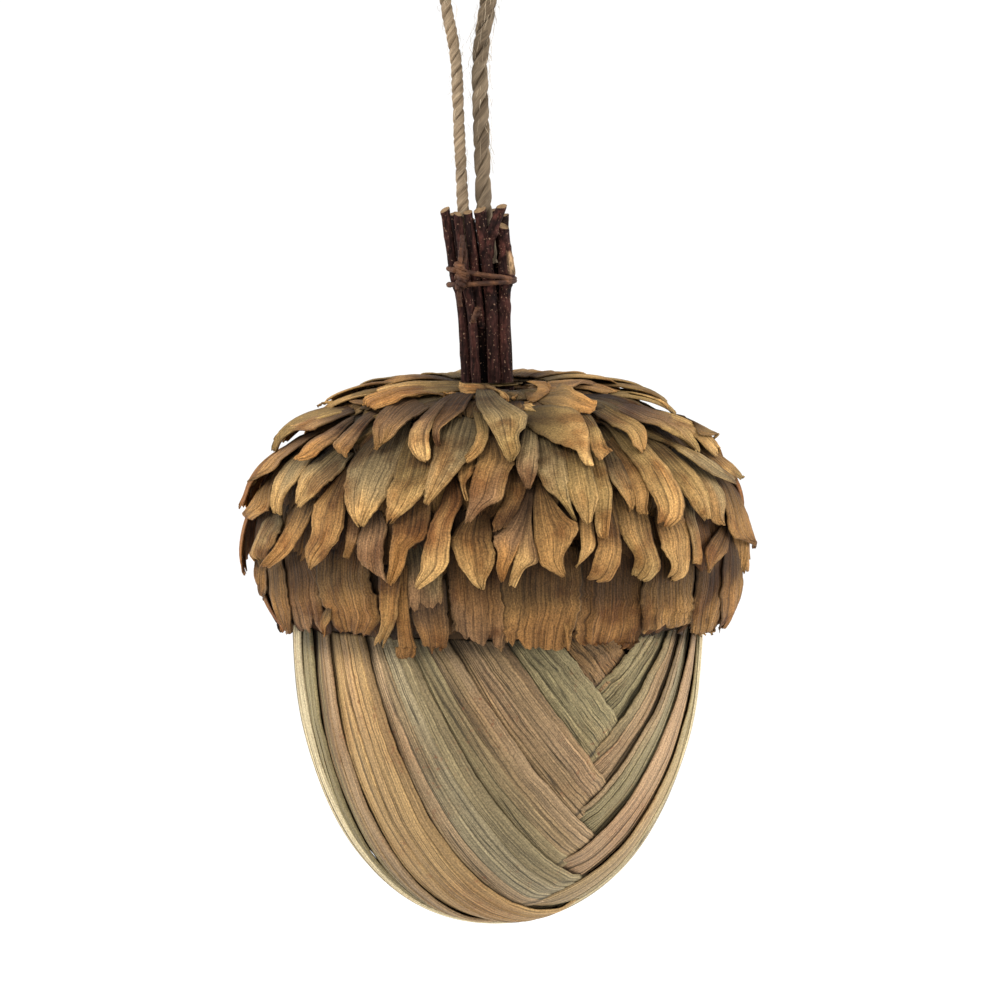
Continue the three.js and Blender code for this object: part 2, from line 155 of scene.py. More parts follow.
class Finish:
    """A procedural material, and short ways to add its nodes."""

    def __init__(self, name, roughness, gloss):
        self.material = bpy.data.materials.new(name)
        self.material.use_nodes = True
        self.tree = self.material.node_tree
        self.shader = self.tree.nodes["Principled BSDF"]
        self.shader.inputs["Roughness"].default_value = roughness
        self.shader.inputs["Specular IOR Level"].default_value = gloss

    def add(self, kind, inputs, **settings):
        node = self.tree.nodes.new("ShaderNode" + kind)
        for key, value in settings.items():
            setattr(node, key, value)
        for socket, value in inputs.items():
            if isinstance(value, bpy.types.NodeSocket):
                self.tree.links.new(value, node.inputs[socket])
            else:
                node.inputs[socket].default_value = value
        return node

    def surface(self):
        """The piece's own pattern map, in millimetres across and along it."""
        return self.add("UVMap", {}, uv_map="surface").outputs["UV"]

    def solid(self):
        return self.add("TexCoord", {}).outputs["Object"]

    def tint(self):
        return self.add("Attribute", {}, attribute_name="tint")

    def streaks(self, place, stretch, detail, wander=0.0):
        """Noise with so many waves to each unit of the place's three ways."""
        spread = self.add("Mapping", {"Vector": place, "Scale": stretch})
        node = self.add(
            "TexNoise",
            {"Vector": spread.outputs[0], "Scale": 1.0, "Detail": detail, "Distortion": wander},
        )
        return node.outputs["Fac"]

    def thin_lines(self, place, stretch, half_width):
        """Nought on thin wandering lines, one away from them."""
        level = self.streaks(place, stretch, 2.0, 0.06)
        off = self.add("Math", {0: level, 1: 0.5}, operation="SUBTRACT").outputs[0]
        off = self.add("Math", {0: off}, operation="ABSOLUTE").outputs[0]
        return self.between(off, 0.0, half_width)

    def between(self, value, low, high, to_low=0.0, to_high=1.0):
        node = self.add(
            "MapRange",
            {"Value": value, "From Min": low, "From Max": high, "To Min": to_low, "To Max": to_high},
        )
        return node.outputs[0]

    def mix(self, share, first, second, blend="MIX"):
        def colour(value):
            return (*value, 1) if isinstance(value, Vector) else value

        node = self.add("Mix", {0: share, 6: colour(first), 7: colour(second)},
                        data_type="RGBA", blend_type=blend)
        return node.outputs[2]

    def shade(self, colour, factor):
        """The colour made darker or lighter by a number."""
        grey = self.add("CombineColor", {"Red": factor, "Green": factor, "Blue": factor})
        return self.mix(1.0, colour, grey.outputs[0], "MULTIPLY")

    def times(self, first, second):
        return self.add("Math", {0: first, 1: second}, operation="MULTIPLY").outputs[0]

    def plus(self, first, second):
        return self.add("Math", {0: first, 1: second}, operation="ADD").outputs[0]

    def dress(self, colour, height, depth, strength):
        """Sets the shader's colour, and its relief as deep as so many millimetres."""
        self.tree.links.new(colour, self.shader.inputs["Base Color"])
        bump = self.add("Bump", {"Height": height, "Distance": depth * MM, "Strength": strength})
        self.tree.links.new(bump.outputs[0], self.shader.inputs["Normal"])
        return self.material


def husk_finish():
    finish = Finish("husk", 0.7, 0.18)
    place = finish.surface()
    solid = finish.solid()
    fine = finish.streaks(place, (2.2, 0.03, 1), 5)
    broad = finish.streaks(place, (0.4, 0.012, 1), 3)
    grain = finish.streaks(solid, (2400, 2400, 2400), 2)
    patch = finish.streaks(solid, (45, 45, 45), 3)
    specks = finish.streaks(solid, (700, 700, 700), 2)
    tint = finish.tint()
    colour = finish.shade(tint.outputs["Color"], finish.between(fine, 0.35, 0.65, 0.6, 1.38))
    colour = finish.shade(colour, finish.between(broad, 0.3, 0.7, 0.86, 1.14))
    colour = finish.shade(colour, finish.between(grain, 0.3, 0.7, 0.66, 1.34))
    lines = finish.thin_lines(place, (0.75, 0.0055, 1), 0.016)
    creases = finish.thin_lines(place, (0.3, 0.004, 1), 0.013)
    colour = finish.shade(colour, finish.between(lines, 0.0, 1.0, 0.55, 1.0))
    # The crease lines are darkened: painted shade in the creases, beside their bump relief.
    colour = finish.shade(colour, finish.between(creases, 0.0, 1.0, 0.3, 1.0))
    warm = finish.mix(1.0, colour, linear(238, 208, 184), "MULTIPLY")
    colour = finish.mix(finish.between(patch, 0.5, 0.72, 0.0, 0.45), colour, warm)
    spotted = finish.times(finish.between(specks, 0.63, 0.7), finish.between(patch, 0.45, 0.6))
    colour = finish.mix(finish.times(spotted, 0.6), colour, linear(104, 62, 38))
    colour = finish.shade(colour, tint.outputs["Alpha"])
    height = finish.plus(finish.plus(fine, finish.times(grain, 0.2)), finish.times(creases, 0.9))
    return finish.dress(colour, height, 0.4, 1.0)


def petal_finish():
    finish = Finish("petal", 0.75, 0.12)
    place = finish.surface()
    solid = finish.solid()
    fine = finish.streaks(place, (2.0, 0.06, 1), 5, 0.1)
    broad = finish.streaks(place, (0.5, 0.04, 1), 3)
    patch = finish.streaks(solid, (110, 110, 110), 4)
    grain = finish.streaks(solid, (2400, 2400, 2400), 2)
    veins = finish.thin_lines(place, (0.8, 0.03, 1), 0.02)
    tint = finish.tint()
    colour = finish.shade(tint.outputs["Color"], finish.between(fine, 0.35, 0.65, 0.55, 1.44))
    colour = finish.shade(colour, finish.between(broad, 0.3, 0.7, 0.74, 1.22))
    colour = finish.shade(colour, finish.between(grain, 0.3, 0.7, 0.6, 1.4))
    colour = finish.shade(colour, finish.between(veins, 0.0, 1.0, 0.6, 1.0))
    stain = finish.mix(1.0, colour, linear(176, 150, 128), "MULTIPLY")
    colour = finish.mix(finish.between(patch, 0.48, 0.64, 0.0, 0.75), colour, stain)
    colour = finish.shade(colour, tint.outputs["Alpha"])
    height = finish.plus(finish.plus(fine, finish.times(broad, 1.2)), finish.times(patch, 0.6))
    return finish.dress(colour, height, 0.7, 1.0)


def bark_finish():
    finish = Finish("bark", 0.8, 0.07)
    solid = finish.solid()
    place = finish.surface()
    tint = finish.tint()
    along = finish.streaks(place, (1.4, 0.25, 1), 4, 0.4)
    rough = finish.streaks(solid, (1500, 1500, 900), 3)
    specks = finish.streaks(solid, (2000, 2000, 1700), 1)
    bark = finish.shade(tint.outputs["Color"], finish.between(along, 0.35, 0.65, 0.35, 1.8))
    bark = finish.shade(bark, finish.between(rough, 0.35, 0.65, 0.6, 1.5))
    bark = finish.mix(finish.between(specks, 0.66, 0.74, 0.0, 0.8), bark, linear(132, 104, 84))
    wood = finish.shade(tint.outputs["Color"], finish.between(rough, 0.3, 0.7, 0.75, 1.2))
    colour = finish.mix(tint.outputs["Alpha"], wood, bark)
    height = finish.plus(finish.times(along, 0.8), finish.times(rough, 0.5))
    return finish.dress(colour, height, 0.4, 0.8)


def paper_wire_finish():
    finish = Finish("paper_wire", 0.72, 0.2)
    solid = finish.solid()
    creases = finish.streaks(solid, (900, 900, 1500), 4, 0.8)
    patch = finish.streaks(solid, (260, 260, 260), 2)
    colour = finish.mix(finish.between(patch, 0.4, 0.62), linear(52, 30, 19), linear(92, 60, 38))
    colour = finish.shade(colour, finish.between(creases, 0.3, 0.7, 0.55, 1.35))
    return finish.dress(colour, creases, 0.4, 0.9)


def jute_finish():
    finish = Finish("jute", 0.8, 0.15)
    place = finish.surface()
    solid = finish.solid()
    fibres = finish.streaks(place, (4.5, 0.25, 1), 3, 0.3)
    patch = finish.streaks(solid, (160, 160, 90), 3)
    tint = finish.tint()
    colour = finish.shade(tint.outputs["Color"], finish.between(fibres, 0.3, 0.7, 0.5, 1.3))
    colour = finish.shade(colour, finish.between(patch, 0.35, 0.65, 0.8, 1.15))
    colour = finish.shade(colour, tint.outputs["Alpha"])
    return finish.dress(colour, fibres, 0.4, 0.9)


def form_finish():
    finish = Finish("dark_form", 0.95, 0.1)
    crumb = finish.streaks(finish.solid(), (420, 420, 420), 4)
    colour = finish.mix(finish.between(crumb, 0.35, 0.65), linear(24, 17, 11), linear(52, 38, 24))
    return finish.dress(colour, crumb, 0.8, 0.8)


def floor_finish():
    finish = Finish("pale_floor", 0.9, 0.1)
    mottle = finish.streaks(finish.solid(), (3, 3, 3), 2)
    colour = finish.mix(mottle, linear(254, 254, 254), linear(253, 253, 252))
    return finish.dress(colour, mottle, 0.1, 0.1)


def new_shell():
    shell = bmesh.new()
    shell.loops.layers.uv.new("surface")
    shell.verts.layers.float_color.new("tint")
    return shell


def add_sheet(shell, across, along, place, paint, size):
    """Adds a sheet with columns and rows at the given shares across and along it. place bends it, paint
    gives each point a colour and a shade, and size is the pattern's width and length."""
    columns, rows = len(across) - 1, len(along) - 1
    made = bmesh.ops.create_grid(shell, x_segments=columns, y_segments=rows, size=0.5)["verts"]
    pattern = shell.loops.layers.uv["surface"]
    tint = shell.verts.layers.float_color["tint"]
    for vert in made:
        i = round((vert.co.x + 0.5) * columns)
        j = round((vert.co.y + 0.5) * rows)
        for loop in vert.link_loops:
            loop[pattern].uv = (across[i] * size[0], along[j] * size[1])
        colour, shade = paint(i, j)
        vert[tint] = (*colour, shade)
        vert.co = place(i, j)
    return made


def shares(count):
    return [i / count for i in range(count + 1)]


def add_tube(shell, sides, along, place, paint, size):
    """Adds a closed bar: a sheet whose sides are joined. Its first and last rows are points."""
    made = add_sheet(shell, shares(sides), along, place, paint, size)
    bmesh.ops.remove_doubles(shell, verts=made, dist=1e-4)


def make_piece(name, shell, material, nodes, thickness=0.0, middle=None):
    """Makes a piece of a shell in millimetres, rides it and hides the imported parts that it stands for."""
    if middle is not None:
        faces = list(shell.faces)
        outward = sum(f.normal.dot(f.calc_center_median() - middle) for f in faces)
        if outward < 0:
            bmesh.ops.reverse_faces(shell, faces=faces)
    else:
        bmesh.ops.recalc_face_normals(shell, faces=shell.faces)
    for face in shell.faces:
        face.smooth = True
    bmesh.ops.scale(shell, vec=(MM, MM, MM), verts=shell.verts)
    mesh = bpy.data.meshes.new(name)
    shell.to_mesh(mesh)
    shell.free()
    mesh.materials.append(material)
    piece = add_object(name, mesh)
    if thickness:
        wall = piece.modifiers.new("thickness", "SOLIDIFY")
        wall.thickness, wall.offset = thickness * MM, -1
    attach(piece, "root")
    if nodes:
        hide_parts(*nodes)
    return piece


# The twine, from its end inside the twigs up round the loop and back down, from the hanging point.
TWINE_ROUTE = [
    (0.3, 0, -80), (-0.1, 0, -75), (-0.6, 0, -69), (-1, 0, -62), (-1.4, 0, -54), (-1.9, 0, -44),
    (-2.3, 0, -34), (-2.6, 0, -27), (-3.6, 0, -20), (-4.9, 0, -13.5), (-5.6, 0, -8),
    (-5.7, 0, -4.3), (-4.9, 0, -1.4), (-2.85, 0, 0.64), (0, 0, 1.4), (2.85, 0, 0.64),
    (4.9, 0, -1.4), (5.7, 0, -4.3), (5.6, 0, -8), (4.9, 0, -13.5), (3.8, 0, -20), (3.2, 0, -27),
    (3.3, 0, -34), (3.6, 0, -44), (3.9, 0, -54), (4.2, 0, -62), (4.9, 0, -69), (5.8, 0, -76),
]
JUTE_PALE, JUTE_DARK = linear(160, 140, 114), linear(96, 78, 58)
TWIST, SLACK_TWIST = 7.4, 6.5  # length of a full twist when tight, and what slack adds to it
TWINE_STEPS, PLY_SIDES, FIBRE_TRIES = 460, 18, 620


def make_twine(material):
    steps = TWINE_STEPS
    line = smooth_line(TWINE_ROUTE, steps)
    slack = [smoothstep(0.45, 0.62, j / steps) for j in range(steps + 1)]
    turn, length = [0.0], 0.0
    for j in range(steps):
        span = (line[j + 1] - line[j]).length
        length += span
        turn.append(turn[-1] - 2 * math.pi * span / (TWIST + SLACK_TWIST * slack[j]))
    depth = Vector((0, 1, 0))

    def sides_of(j):
        ahead = (line[min(j + 1, steps)] - line[max(j - 1, 0)]).normalized()
        return depth, ahead.cross(depth)

    shell = new_shell()
    rows = [0, 0, *range(steps + 1), steps, steps]
    for ply in (0, 1):

        def place(i, j, ply=ply):
            row = rows[j]
            front, side = sides_of(row)
            angle = turn[row] + math.pi * ply
            off = 0.6 + 0.3 * slack[row] + 0.08 * ripple(row * 0.06, ply, 3)
            outward = front * math.sin(angle) + side * math.cos(angle)
            beside = front * math.cos(angle) - side * math.sin(angle)
            full = 0 if j in (0, len(rows) - 1) else 0.6 if j in (1, len(rows) - 2) else 1
            around = 2 * math.pi * i / PLY_SIDES
            size = full * (1 + 0.36 * slack[row] + 0.06 * ripple(row * 0.1, ply, 5)
                           + 0.06 * math.sin(around * 4 + turn[row] * 2.5 + ply))
            return (line[row] + outward * (off * full + 0.8 * size * math.cos(around))
                    + beside * 1.22 * size * math.sin(around))

        def paint(i, j, ply=ply):
            share = 0.5 + 0.5 * ripple(rows[j] * 0.05, ply * 3.3 + i * 0.2, 8)
            return JUTE_DARK.lerp(JUTE_PALE, share), 1 - 0.42 * slack[rows[j]]

        add_tube(shell, PLY_SIDES, shares(len(rows) - 1), place, paint, (5, length))
    loop = make_piece("twine_loop_plies", shell, material, ["twine_loop"])

    picks = random.Random(11)
    fuzz = new_shell()
    for _ in range(FIBRE_TRIES):
        row = picks.randrange(60, steps - 60)
        front, side = sides_of(row)
        loose = slack[row]
        if picks.random() > 0.35 + 0.65 * loose:
            continue
        angle = picks.uniform(0, 2 * math.pi)
        way = front * math.sin(angle) + side * math.cos(angle)
        ahead = (line[row + 1] - line[row]).normalized() * picks.choice((-1, 1))
        reach = picks.uniform(1.5, 6) * (0.6 + 0.6 * loose)
        start = line[row] + way * picks.uniform(1.2, 1.6 + 0.5 * loose)
        bend = Vector((picks.uniform(-1, 1), picks.uniform(-1, 1), picks.uniform(-1, 1)))
        hair = smooth_line(
            [start, start + ahead * reach * 0.5 + way * picks.uniform(0.2, 1.2),
             start + ahead * reach + way * picks.uniform(0.1, 1.6) + bend * 0.6], 5)
        thin = picks.uniform(0.025, 0.055)

        def place(i, j, hair=hair, thin=thin):
            around = 2 * math.pi * i / 3
            size = 0 if j in (0, 6) else thin
            return hair[min(5, j)] + Vector((math.cos(around), math.sin(around), 0)) * size

        shade = JUTE_PALE.lerp(linear(214, 196, 168), picks.random())
        add_tube(fuzz, 3, shares(6), place, lambda i, j, shade=shade: (shade, 1), (0.3, reach))
    fibres = make_piece("twine_loose_fibres", fuzz, material, [])


# The husk strips' upper edges: each a plane through the nut's middle, from a turn on its rim to a tip
# on the spine where left and right strips meet. Both are degrees, the turn from the front.
SPINE_TURN = 32
FRONT_LEFT = [(14.2, 69.8), (-0.1, 52.4), (-15.2, 39.4), (-27.1, 28.2), (-40.2, 15.9), (-54.8, 6.3),
              (-63.5, 2)]
FRONT_RIGHT = [(45.4, 77.3), (57.2, 60.1), (65.4, 46.5), (73.2, 33.9), (83.1, 22.1)]
BACK_LEFT = [(12, 66), (-10, 44), (-32, 26), (-54, 9)]
BACK_RIGHT = [(48, 74), (61, 52), (75, 31)]
FIRST_LEFT = (31, 89)
BELT_TURN = -84
BELT_WIDTH = 17
BELT_SPREAD = BELT_WIDTH * 1.04
BELT_START, BELT_SWEEP = 2.1, 175.8  # degrees down from the rim, and round under the tip
TUCK = 2.0  # how far a strip runs on under the next one
STRIP_THICKNESS = 0.5

ROSE, SAGE, MIST = dried(172, 142, 110), dried(146, 134, 100), dried(154, 144, 116)
STRAW, TAN, UMBER = dried(182, 149, 101), dried(160, 132, 96), dried(112, 88, 62)
MOSS, LIME, OCHRE = dried(120, 108, 78), dried(166, 150, 112), dried(132, 100, 62)
# The pale tone that the belt is drawn towards, as painted light.
PALE_PAINTED_LIGHT = linear(186, 174, 150)

# Each strip's folds from its own edge down: share of the width, colour at the rim, colour at the
# spine, and how high the fold's edge stands.
FOLDS = {
    "left_0": [(30, OCHRE, OCHRE, 0.3), (25, UMBER, OCHRE, 0.3), (25, OCHRE, TAN, 0.25),
               (20, TAN, UMBER, 0.2)],
    "left_1": [(18, SAGE, SAGE, 0.2), (14, MOSS, SAGE, 0.3), (20, SAGE, LIME, 0.2), (14, SAGE, SAGE, 0.25),
               (18, LIME, SAGE, 0.2), (16, MOSS, MOSS, 0.3)],
    "left_2": [(10, UMBER, TAN, 0.3), (34, TAN, ROSE, 0.25), (30, ROSE, TAN, 0.2), (16, TAN, TAN, 0.25),
               (10, MOSS, SAGE, 0.35)],
    "left_3": [(16, ROSE, ROSE, 0.35), (14, TAN, ROSE, 0.4), (12, UMBER, TAN, 0.45), (20, SAGE, TAN, 0.3),
               (12, MOSS, SAGE, 0.45), (14, SAGE, SAGE, 0.35), (12, MOSS, SAGE, 0.4)],
    "left_4": [(12, MOSS, SAGE, 0.4), (14, SAGE, SAGE, 0.4), (22, MIST, MIST, 0.3), (16, TAN, MIST, 0.2),
               (22, ROSE, ROSE, 0.25), (14, ROSE, TAN, 0.35)],
    "left_5": [(12, UMBER, STRAW, 0.5), (26, STRAW, STRAW, 0.35), (14, TAN, STRAW, 0.4),
               (34, STRAW, STRAW, 0.3), (14, STRAW, TAN, 0.4)],
    "left_6": [(26, ROSE, ROSE, 0.5), (22, UMBER, TAN, 0.5), (28, MOSS, SAGE, 0.5), (24, UMBER, MOSS, 0.5)],
    "left_7": [(24, MOSS, MOSS, 0.5), (30, SAGE, SAGE, 0.4), (20, MOSS, SAGE, 0.5), (26, SAGE, LIME, 0.4)],
    "right_1": [(22, SAGE, SAGE, 0.25), (18, LIME, SAGE, 0.3), (22, MOSS, MOSS, 0.3), (20, SAGE, SAGE, 0.3),
                (18, MOSS, SAGE, 0.3)],
    "right_2": [(26, SAGE, SAGE, 0.25), (34, TAN, ROSE, 0.25), (22, ROSE, ROSE, 0.4), (18, UMBER, TAN, 0.5)],
    "right_3": [(14, UMBER, ROSE, 0.4), (22, ROSE, SAGE, 0.35), (34, MIST, SAGE, 0.3), (16, MIST, SAGE, 0.3),
                (14, MOSS, SAGE, 0.5)],
    "right_4": [(40, ROSE, ROSE, 0.25), (36, ROSE, ROSE, 0.25), (24, TAN, ROSE, 0.4)],
    "right_5": [(40, LIME, TAN, 0.35), (34, SAGE, LIME, 0.35), (26, LIME, LIME, 0.4)],
    "belt": [(24, LIME, LIME, 0.25), (28, LIME, TAN, 0.3), (26, SAGE, LIME, 0.3), (22, LIME, SAGE, 0.3)],
    "back_0": [(30, TAN, SAGE, 0.35), (38, ROSE, TAN, 0.3), (32, SAGE, SAGE, 0.4)],
    "back_1": [(34, SAGE, MIST, 0.35), (36, MIST, LIME, 0.3), (30, TAN, SAGE, 0.4)],
    "back_2": [(36, STRAW, ROSE, 0.35), (28, TAN, STRAW, 0.3), (36, ROSE, TAN, 0.4)],
}


def fold_starts(folds):
    """Where each fold starts, and the last one ends, as shares of the strip's width."""
    total = sum(fold[0] for fold in folds)
    return [sum(fold[0] for fold in folds[:k]) / total for k in range(len(folds) + 1)]


def closer(folds):
    """The same folds with their colours drawn together, as one leaf's are."""
    total = sum(fold[0] for fold in folds)
    rim = sum((fold[1] * fold[0] for fold in folds), Vector((0, 0, 0))) / total
    spine = sum((fold[2] * fold[0] for fold in folds), Vector((0, 0, 0))) / total
    return [(share, at_rim.lerp(rim, 0.45), at_spine.lerp(spine, 0.45), step)
            for share, at_rim, at_spine, step in folds]


def direction(turn, tip):
    """From the nut's middle: turned round from the front, and tipped up from straight down."""
    turn, tip = math.radians(turn), math.radians(tip)
    return Vector((math.sin(turn) * math.sin(tip), -math.cos(turn) * math.sin(tip), -math.cos(tip)))


def on_nut(ray, out):
    """Where a ray from the nut's middle leaves its rounded body, moved out along the face's normal."""
    full = NUT_FULLNESS
    wide = math.hypot(ray.x, ray.y)
    reach = ((wide / NUT_RADIUS) ** full + (abs(ray.z) / NUT_DEPTH) ** full) ** (-1 / full)
    steep = max(wide, 1e-6) ** (full - 2) / NUT_RADIUS ** full
    normal = Vector((ray.x * steep, ray.y * steep,
                     math.copysign(abs(ray.z) ** (full - 1), ray.z) / NUT_DEPTH ** full))
    return ray * reach + normal.normalized() * out


def last_inside(inside, start, end, step):
    """The last value from start on, in steps, for which inside() holds."""
    value = start
    while value < end and inside(value + step):
        value += step
    low, high = value, min(end, value + step)
    for _ in range(14):
        half = (low + high) / 2
        if inside(half):
            low = half
        else:
            high = half
    return low


def fold_columns(folds, fine):
    """Columns across a strip: the fold's number, and the share across the fold."""
    steps = (0, 0.05, 0.14, 0.32, 0.5, 0.68, 0.84, 0.93, 0.985) if fine else (0, 0.1, 0.4, 0.7, 0.96)
    return [(k, c) for k in range(len(folds)) for c in steps] + [(len(folds) - 1, 1)]


def fold_height(share, step):
    """A fold's face: its edge rounded over, then sloping in under the next fold."""
    if share < 0.05:
        return step * (-0.1 + 0.6 * share / 0.05)
    return step * (0.5 - 0.85 * share - 0.5 * smoothstep(0.9, 1, share))


def add_strip(shell, own, nexts, covers, folds, seed, fine):
    """One husk strip below its own edge, out to the planes of the strips laid over its lower side and
    over its end. A plane is an upward normal and its distance from the nut's middle."""
    e1, normal, e2 = own
    columns = fold_columns(folds, fine)
    rows = 116 if fine else 60
    folds = closer(folds)

    def ray(u, dip):
        return (e1 * math.cos(u) + e2 * math.sin(u)) * math.cos(dip) - normal * math.sin(dip)

    def clear(point, planes):
        return all(n.dot(point) > far for n, far in planes)

    first, last, count = math.radians(-75), math.radians(185), 130
    widths = []
    for k in range(count + 1):
        u = first + (last - first) * k / count
        widths.append(last_inside(lambda dip: clear(on_nut(ray(u, dip), 0), nexts), 0,
                                  math.radians(50), math.radians(2)))

    def width(u):
        k = clamp((u - first) / (last - first) * count, 0, count - 1e-6)
        low = int(k)
        return widths[low] + (widths[low + 1] - widths[low]) * (k - low)

    starts = fold_starts(folds)

    def share_across(column, t):
        k, c = columns[column]
        edges = []
        for n in (k, k + 1):
            drift = 0 if n in (0, len(folds)) else 0.05 * ripple(n * 3.1 + t * 1.6, t, seed)
            edges.append(starts[n] + drift)
        return edges[0] + (edges[1] - edges[0]) * c

    spans = []
    for column in range(len(columns)):

        def point(u, column=column):
            return on_nut(ray(u, share_across(column, 0.5) * width(u)), 0)

        start = last_inside(lambda u: point(u).z > -1.8, first, last, math.radians(2))
        end = last_inside(lambda u: clear(point(u), covers), start, last, math.radians(2))
        spans.append((start, max(end, start + 0.002)))

    def turn_at(i, t):
        start, end = spans[i]
        return start + (end - start) * t

    def clearance(spot):
        """How far a spot lies out from under the strips laid over this one."""
        return min(n.dot(spot) - far - TUCK for n, far in [*nexts, *covers])

    def wander(t):
        return 0.006 * ripple(t * 9, 0, seed + 1) + 0.004 * ripple(t * 31, 0, seed + 2)

    def place(i, j):
        k, c = columns[i]
        t = j / rows
        u = turn_at(i, t)
        v = share_across(i, t)
        dip = v * width(u) + wander(t) * (1 - v)
        out = -1.3 * (1 - smoothstep(-0.8, 6.5, clearance(on_nut(ray(u, dip), 0))))
        out += 0.1 + fold_height(c, folds[k][3]) * (0.7 + 0.6 * ripple(t * 3, k, seed + 3))
        out += 0.5 * ripple(t * 5, v * 2.2, seed + 4) + 0.06 * ripple(t * 17, v * 6, seed + 5)
        out -= 0.3 * (1 - smoothstep(0, 0.03, v))
        return on_nut(ray(u, dip), max(out, -1.75)) + NUT_MIDDLE

    def paint(i, j):
        k, c = columns[i]
        t = j / rows
        colour = folds[k][1].lerp(folds[k][2], smoothstep(0.15, 0.85, t + 0.3 * ripple(t * 2, k, seed)))
        # Painted shade in the groove under each fold, and a painted highlight on each fold's rounded edge.
        groove_shade = 0.85 * smoothstep(0.86, 0.985, c) if k < len(folds) - 1 else 0
        ridge_highlight = 0.14 * (1 - smoothstep(0.03, 0.2, c))
        u = turn_at(i, t)
        spot = on_nut(ray(u, share_across(i, t) * width(u)), 0)
        under = clearance(spot)
        # Painted shadow: a dark band beside the edges of the strips laid over this one, wider near the rim.
        gap = 1.1 + 2.6 * (1 - smoothstep(0.03, 0.2, t))
        edge_shadow = 1 - 0.8 * (1 - smoothstep(-0.2, gap, under)) * smoothstep(-0.9, -0.3, under)
        # Painted shadow under the cap's rim, at the top of each strip.
        cap_shadow = 0.45 + 0.55 * smoothstep(0.03, 0.11, t)
        # Painted light: the strips are lighter towards the nut's left and right sides, and lighter still
        # high on its left.
        lit = 0.82 + 0.32 * smoothstep(14, 46, abs(spot.x + 4))
        lit *= 1 + 0.3 * smoothstep(-8, -24, spot.x) * smoothstep(-34, -12, spot.z)
        colour = colour * (1 + 0.1 * ripple(t * 4, k * 2.7, seed + 6)) * lit
        return colour, (1 - groove_shade + ridge_highlight) * edge_shadow * cap_shadow

    across = [share_across(i, 0.5) for i in range(len(columns))]
    add_sheet(shell, across, shares(rows), place, paint, (26, 118))


def edge_frame(edge, turn):
    """An edge's plane: the way along the rim, the upward normal, and the way down along the edge."""
    rim = direction(edge[0] + turn, 90)
    spine = direction(SPINE_TURN + turn, edge[1])
    normal = rim.cross(spine).normalized()
    if normal.z < 0:
        normal = -normal
    down = (spine - rim * rim.dot(spine)).normalized()
    return rim, normal, down


def make_strips(prefix, left, right, turn, belt, material, folds_of, fine):
    """The herringbone of one side of the nut: its left strips, then its right ones."""
    lefts = [edge_frame(edge, turn) for edge in left]
    rights = [edge_frame(edge, turn) for edge in right]
    side = (belt, BELT_WIDTH / 2 - TUCK)

    def laid_over(edges, k):
        return [*([(edges[k][1], -TUCK)] if k < len(edges) else []), side]

    def make_strip(name, own, nexts, covers, folds, seed):
        shell = new_shell()
        add_strip(shell, own, nexts, covers, folds, seed, fine)
        make_piece(f"{prefix}_strip_{name}", shell, material, [f"{prefix}_{name}"],
                   STRIP_THICKNESS, NUT_MIDDLE)

    for k, own in enumerate([edge_frame(FIRST_LEFT, turn), *lefts]):
        name = f"left_{k}"
        make_strip(name, own, laid_over(lefts, k), laid_over(rights, k), folds_of(name, k),
                   k + turn * 0.1 + 1)
    for k, own in enumerate(rights, 1):
        name = f"right_{k}"
        make_strip(name, own, laid_over(rights, k), laid_over(lefts, k - 1), folds_of(name, k + 1),
                   k + 20 + turn * 0.1)


def make_belt(belt, material):
    """The last strip, down one side of the nut, under its tip and up the other side."""
    folds = FOLDS["belt"]
    columns = fold_columns(folds, True)
    rows = 200
    start = direction(BELT_TURN, 90)
    down = Vector((0, 0, -1))
    starts = fold_starts(folds)

    def spot(i, j):
        k, c = columns[i]
        t = j / rows
        v = starts[k] + (starts[k + 1] - starts[k]) * c
        if 0 < v < 1:
            v += 0.04 * ripple(t * 5, k + (c > 0.9), 61)
        return t, v

    def place(i, j):
        k, c = columns[i]
        t, v = spot(i, j)
        u = math.radians(BELT_START + BELT_SWEEP * t)
        ahead = start * math.cos(u) + down * math.sin(u)
        aside = BELT_SPREAD * (0.5 - v) + 0.35 * ripple(t * 14, v, 62)
        reach = on_nut(ahead, 0).length
        ray = (ahead * math.sqrt(max(0, reach ** 2 - aside ** 2)) + belt * aside).normalized()
        out = fold_height(c, folds[k][3]) + 0.4 * ripple(t * 9, v * 2, 63)
        out -= 0.5 * (smoothstep(0.42, 0.5, abs(v - 0.5))) + 0.05
        return on_nut(ray, out) + NUT_MIDDLE

    def paint(i, j):
        k, c = columns[i]
        t = j / rows
        colour = folds[k][1].lerp(folds[k][2], smoothstep(0.3, 0.7, t + 0.3 * ripple(t * 6, k, 64)))
        # Painted shade in the groove under each fold.
        groove_shade = 0.7 * smoothstep(0.8, 0.985, c) if k < len(folds) - 1 else 0
        # Painted light: the belt is drawn towards a pale tone and made 1.25 times brighter.
        colour = colour.lerp(PALE_PAINTED_LIGHT, 0.25)
        return colour * (1.25 + 0.12 * ripple(t * 8, k * 2.7, 65)), 1 - groove_shade

    shell = new_shell()
    across = [spot(i, 0)[1] for i in range(len(columns))]
    add_sheet(shell, across, shares(rows), place, paint, (BELT_WIDTH, 230))
    make_piece("husk_belt_strip", shell, material, ["husk_belt"], STRIP_THICKNESS, NUT_MIDDLE)


CAP_START = 88  # degrees up from the cap's widest level
DOME_STEPS, LEDGE_STEPS, GRID_STEPS = 160, 12, 60
GRID_OUT = 4
TURN_NUDGE, ALONG_NUDGE = 0.01, 0.3


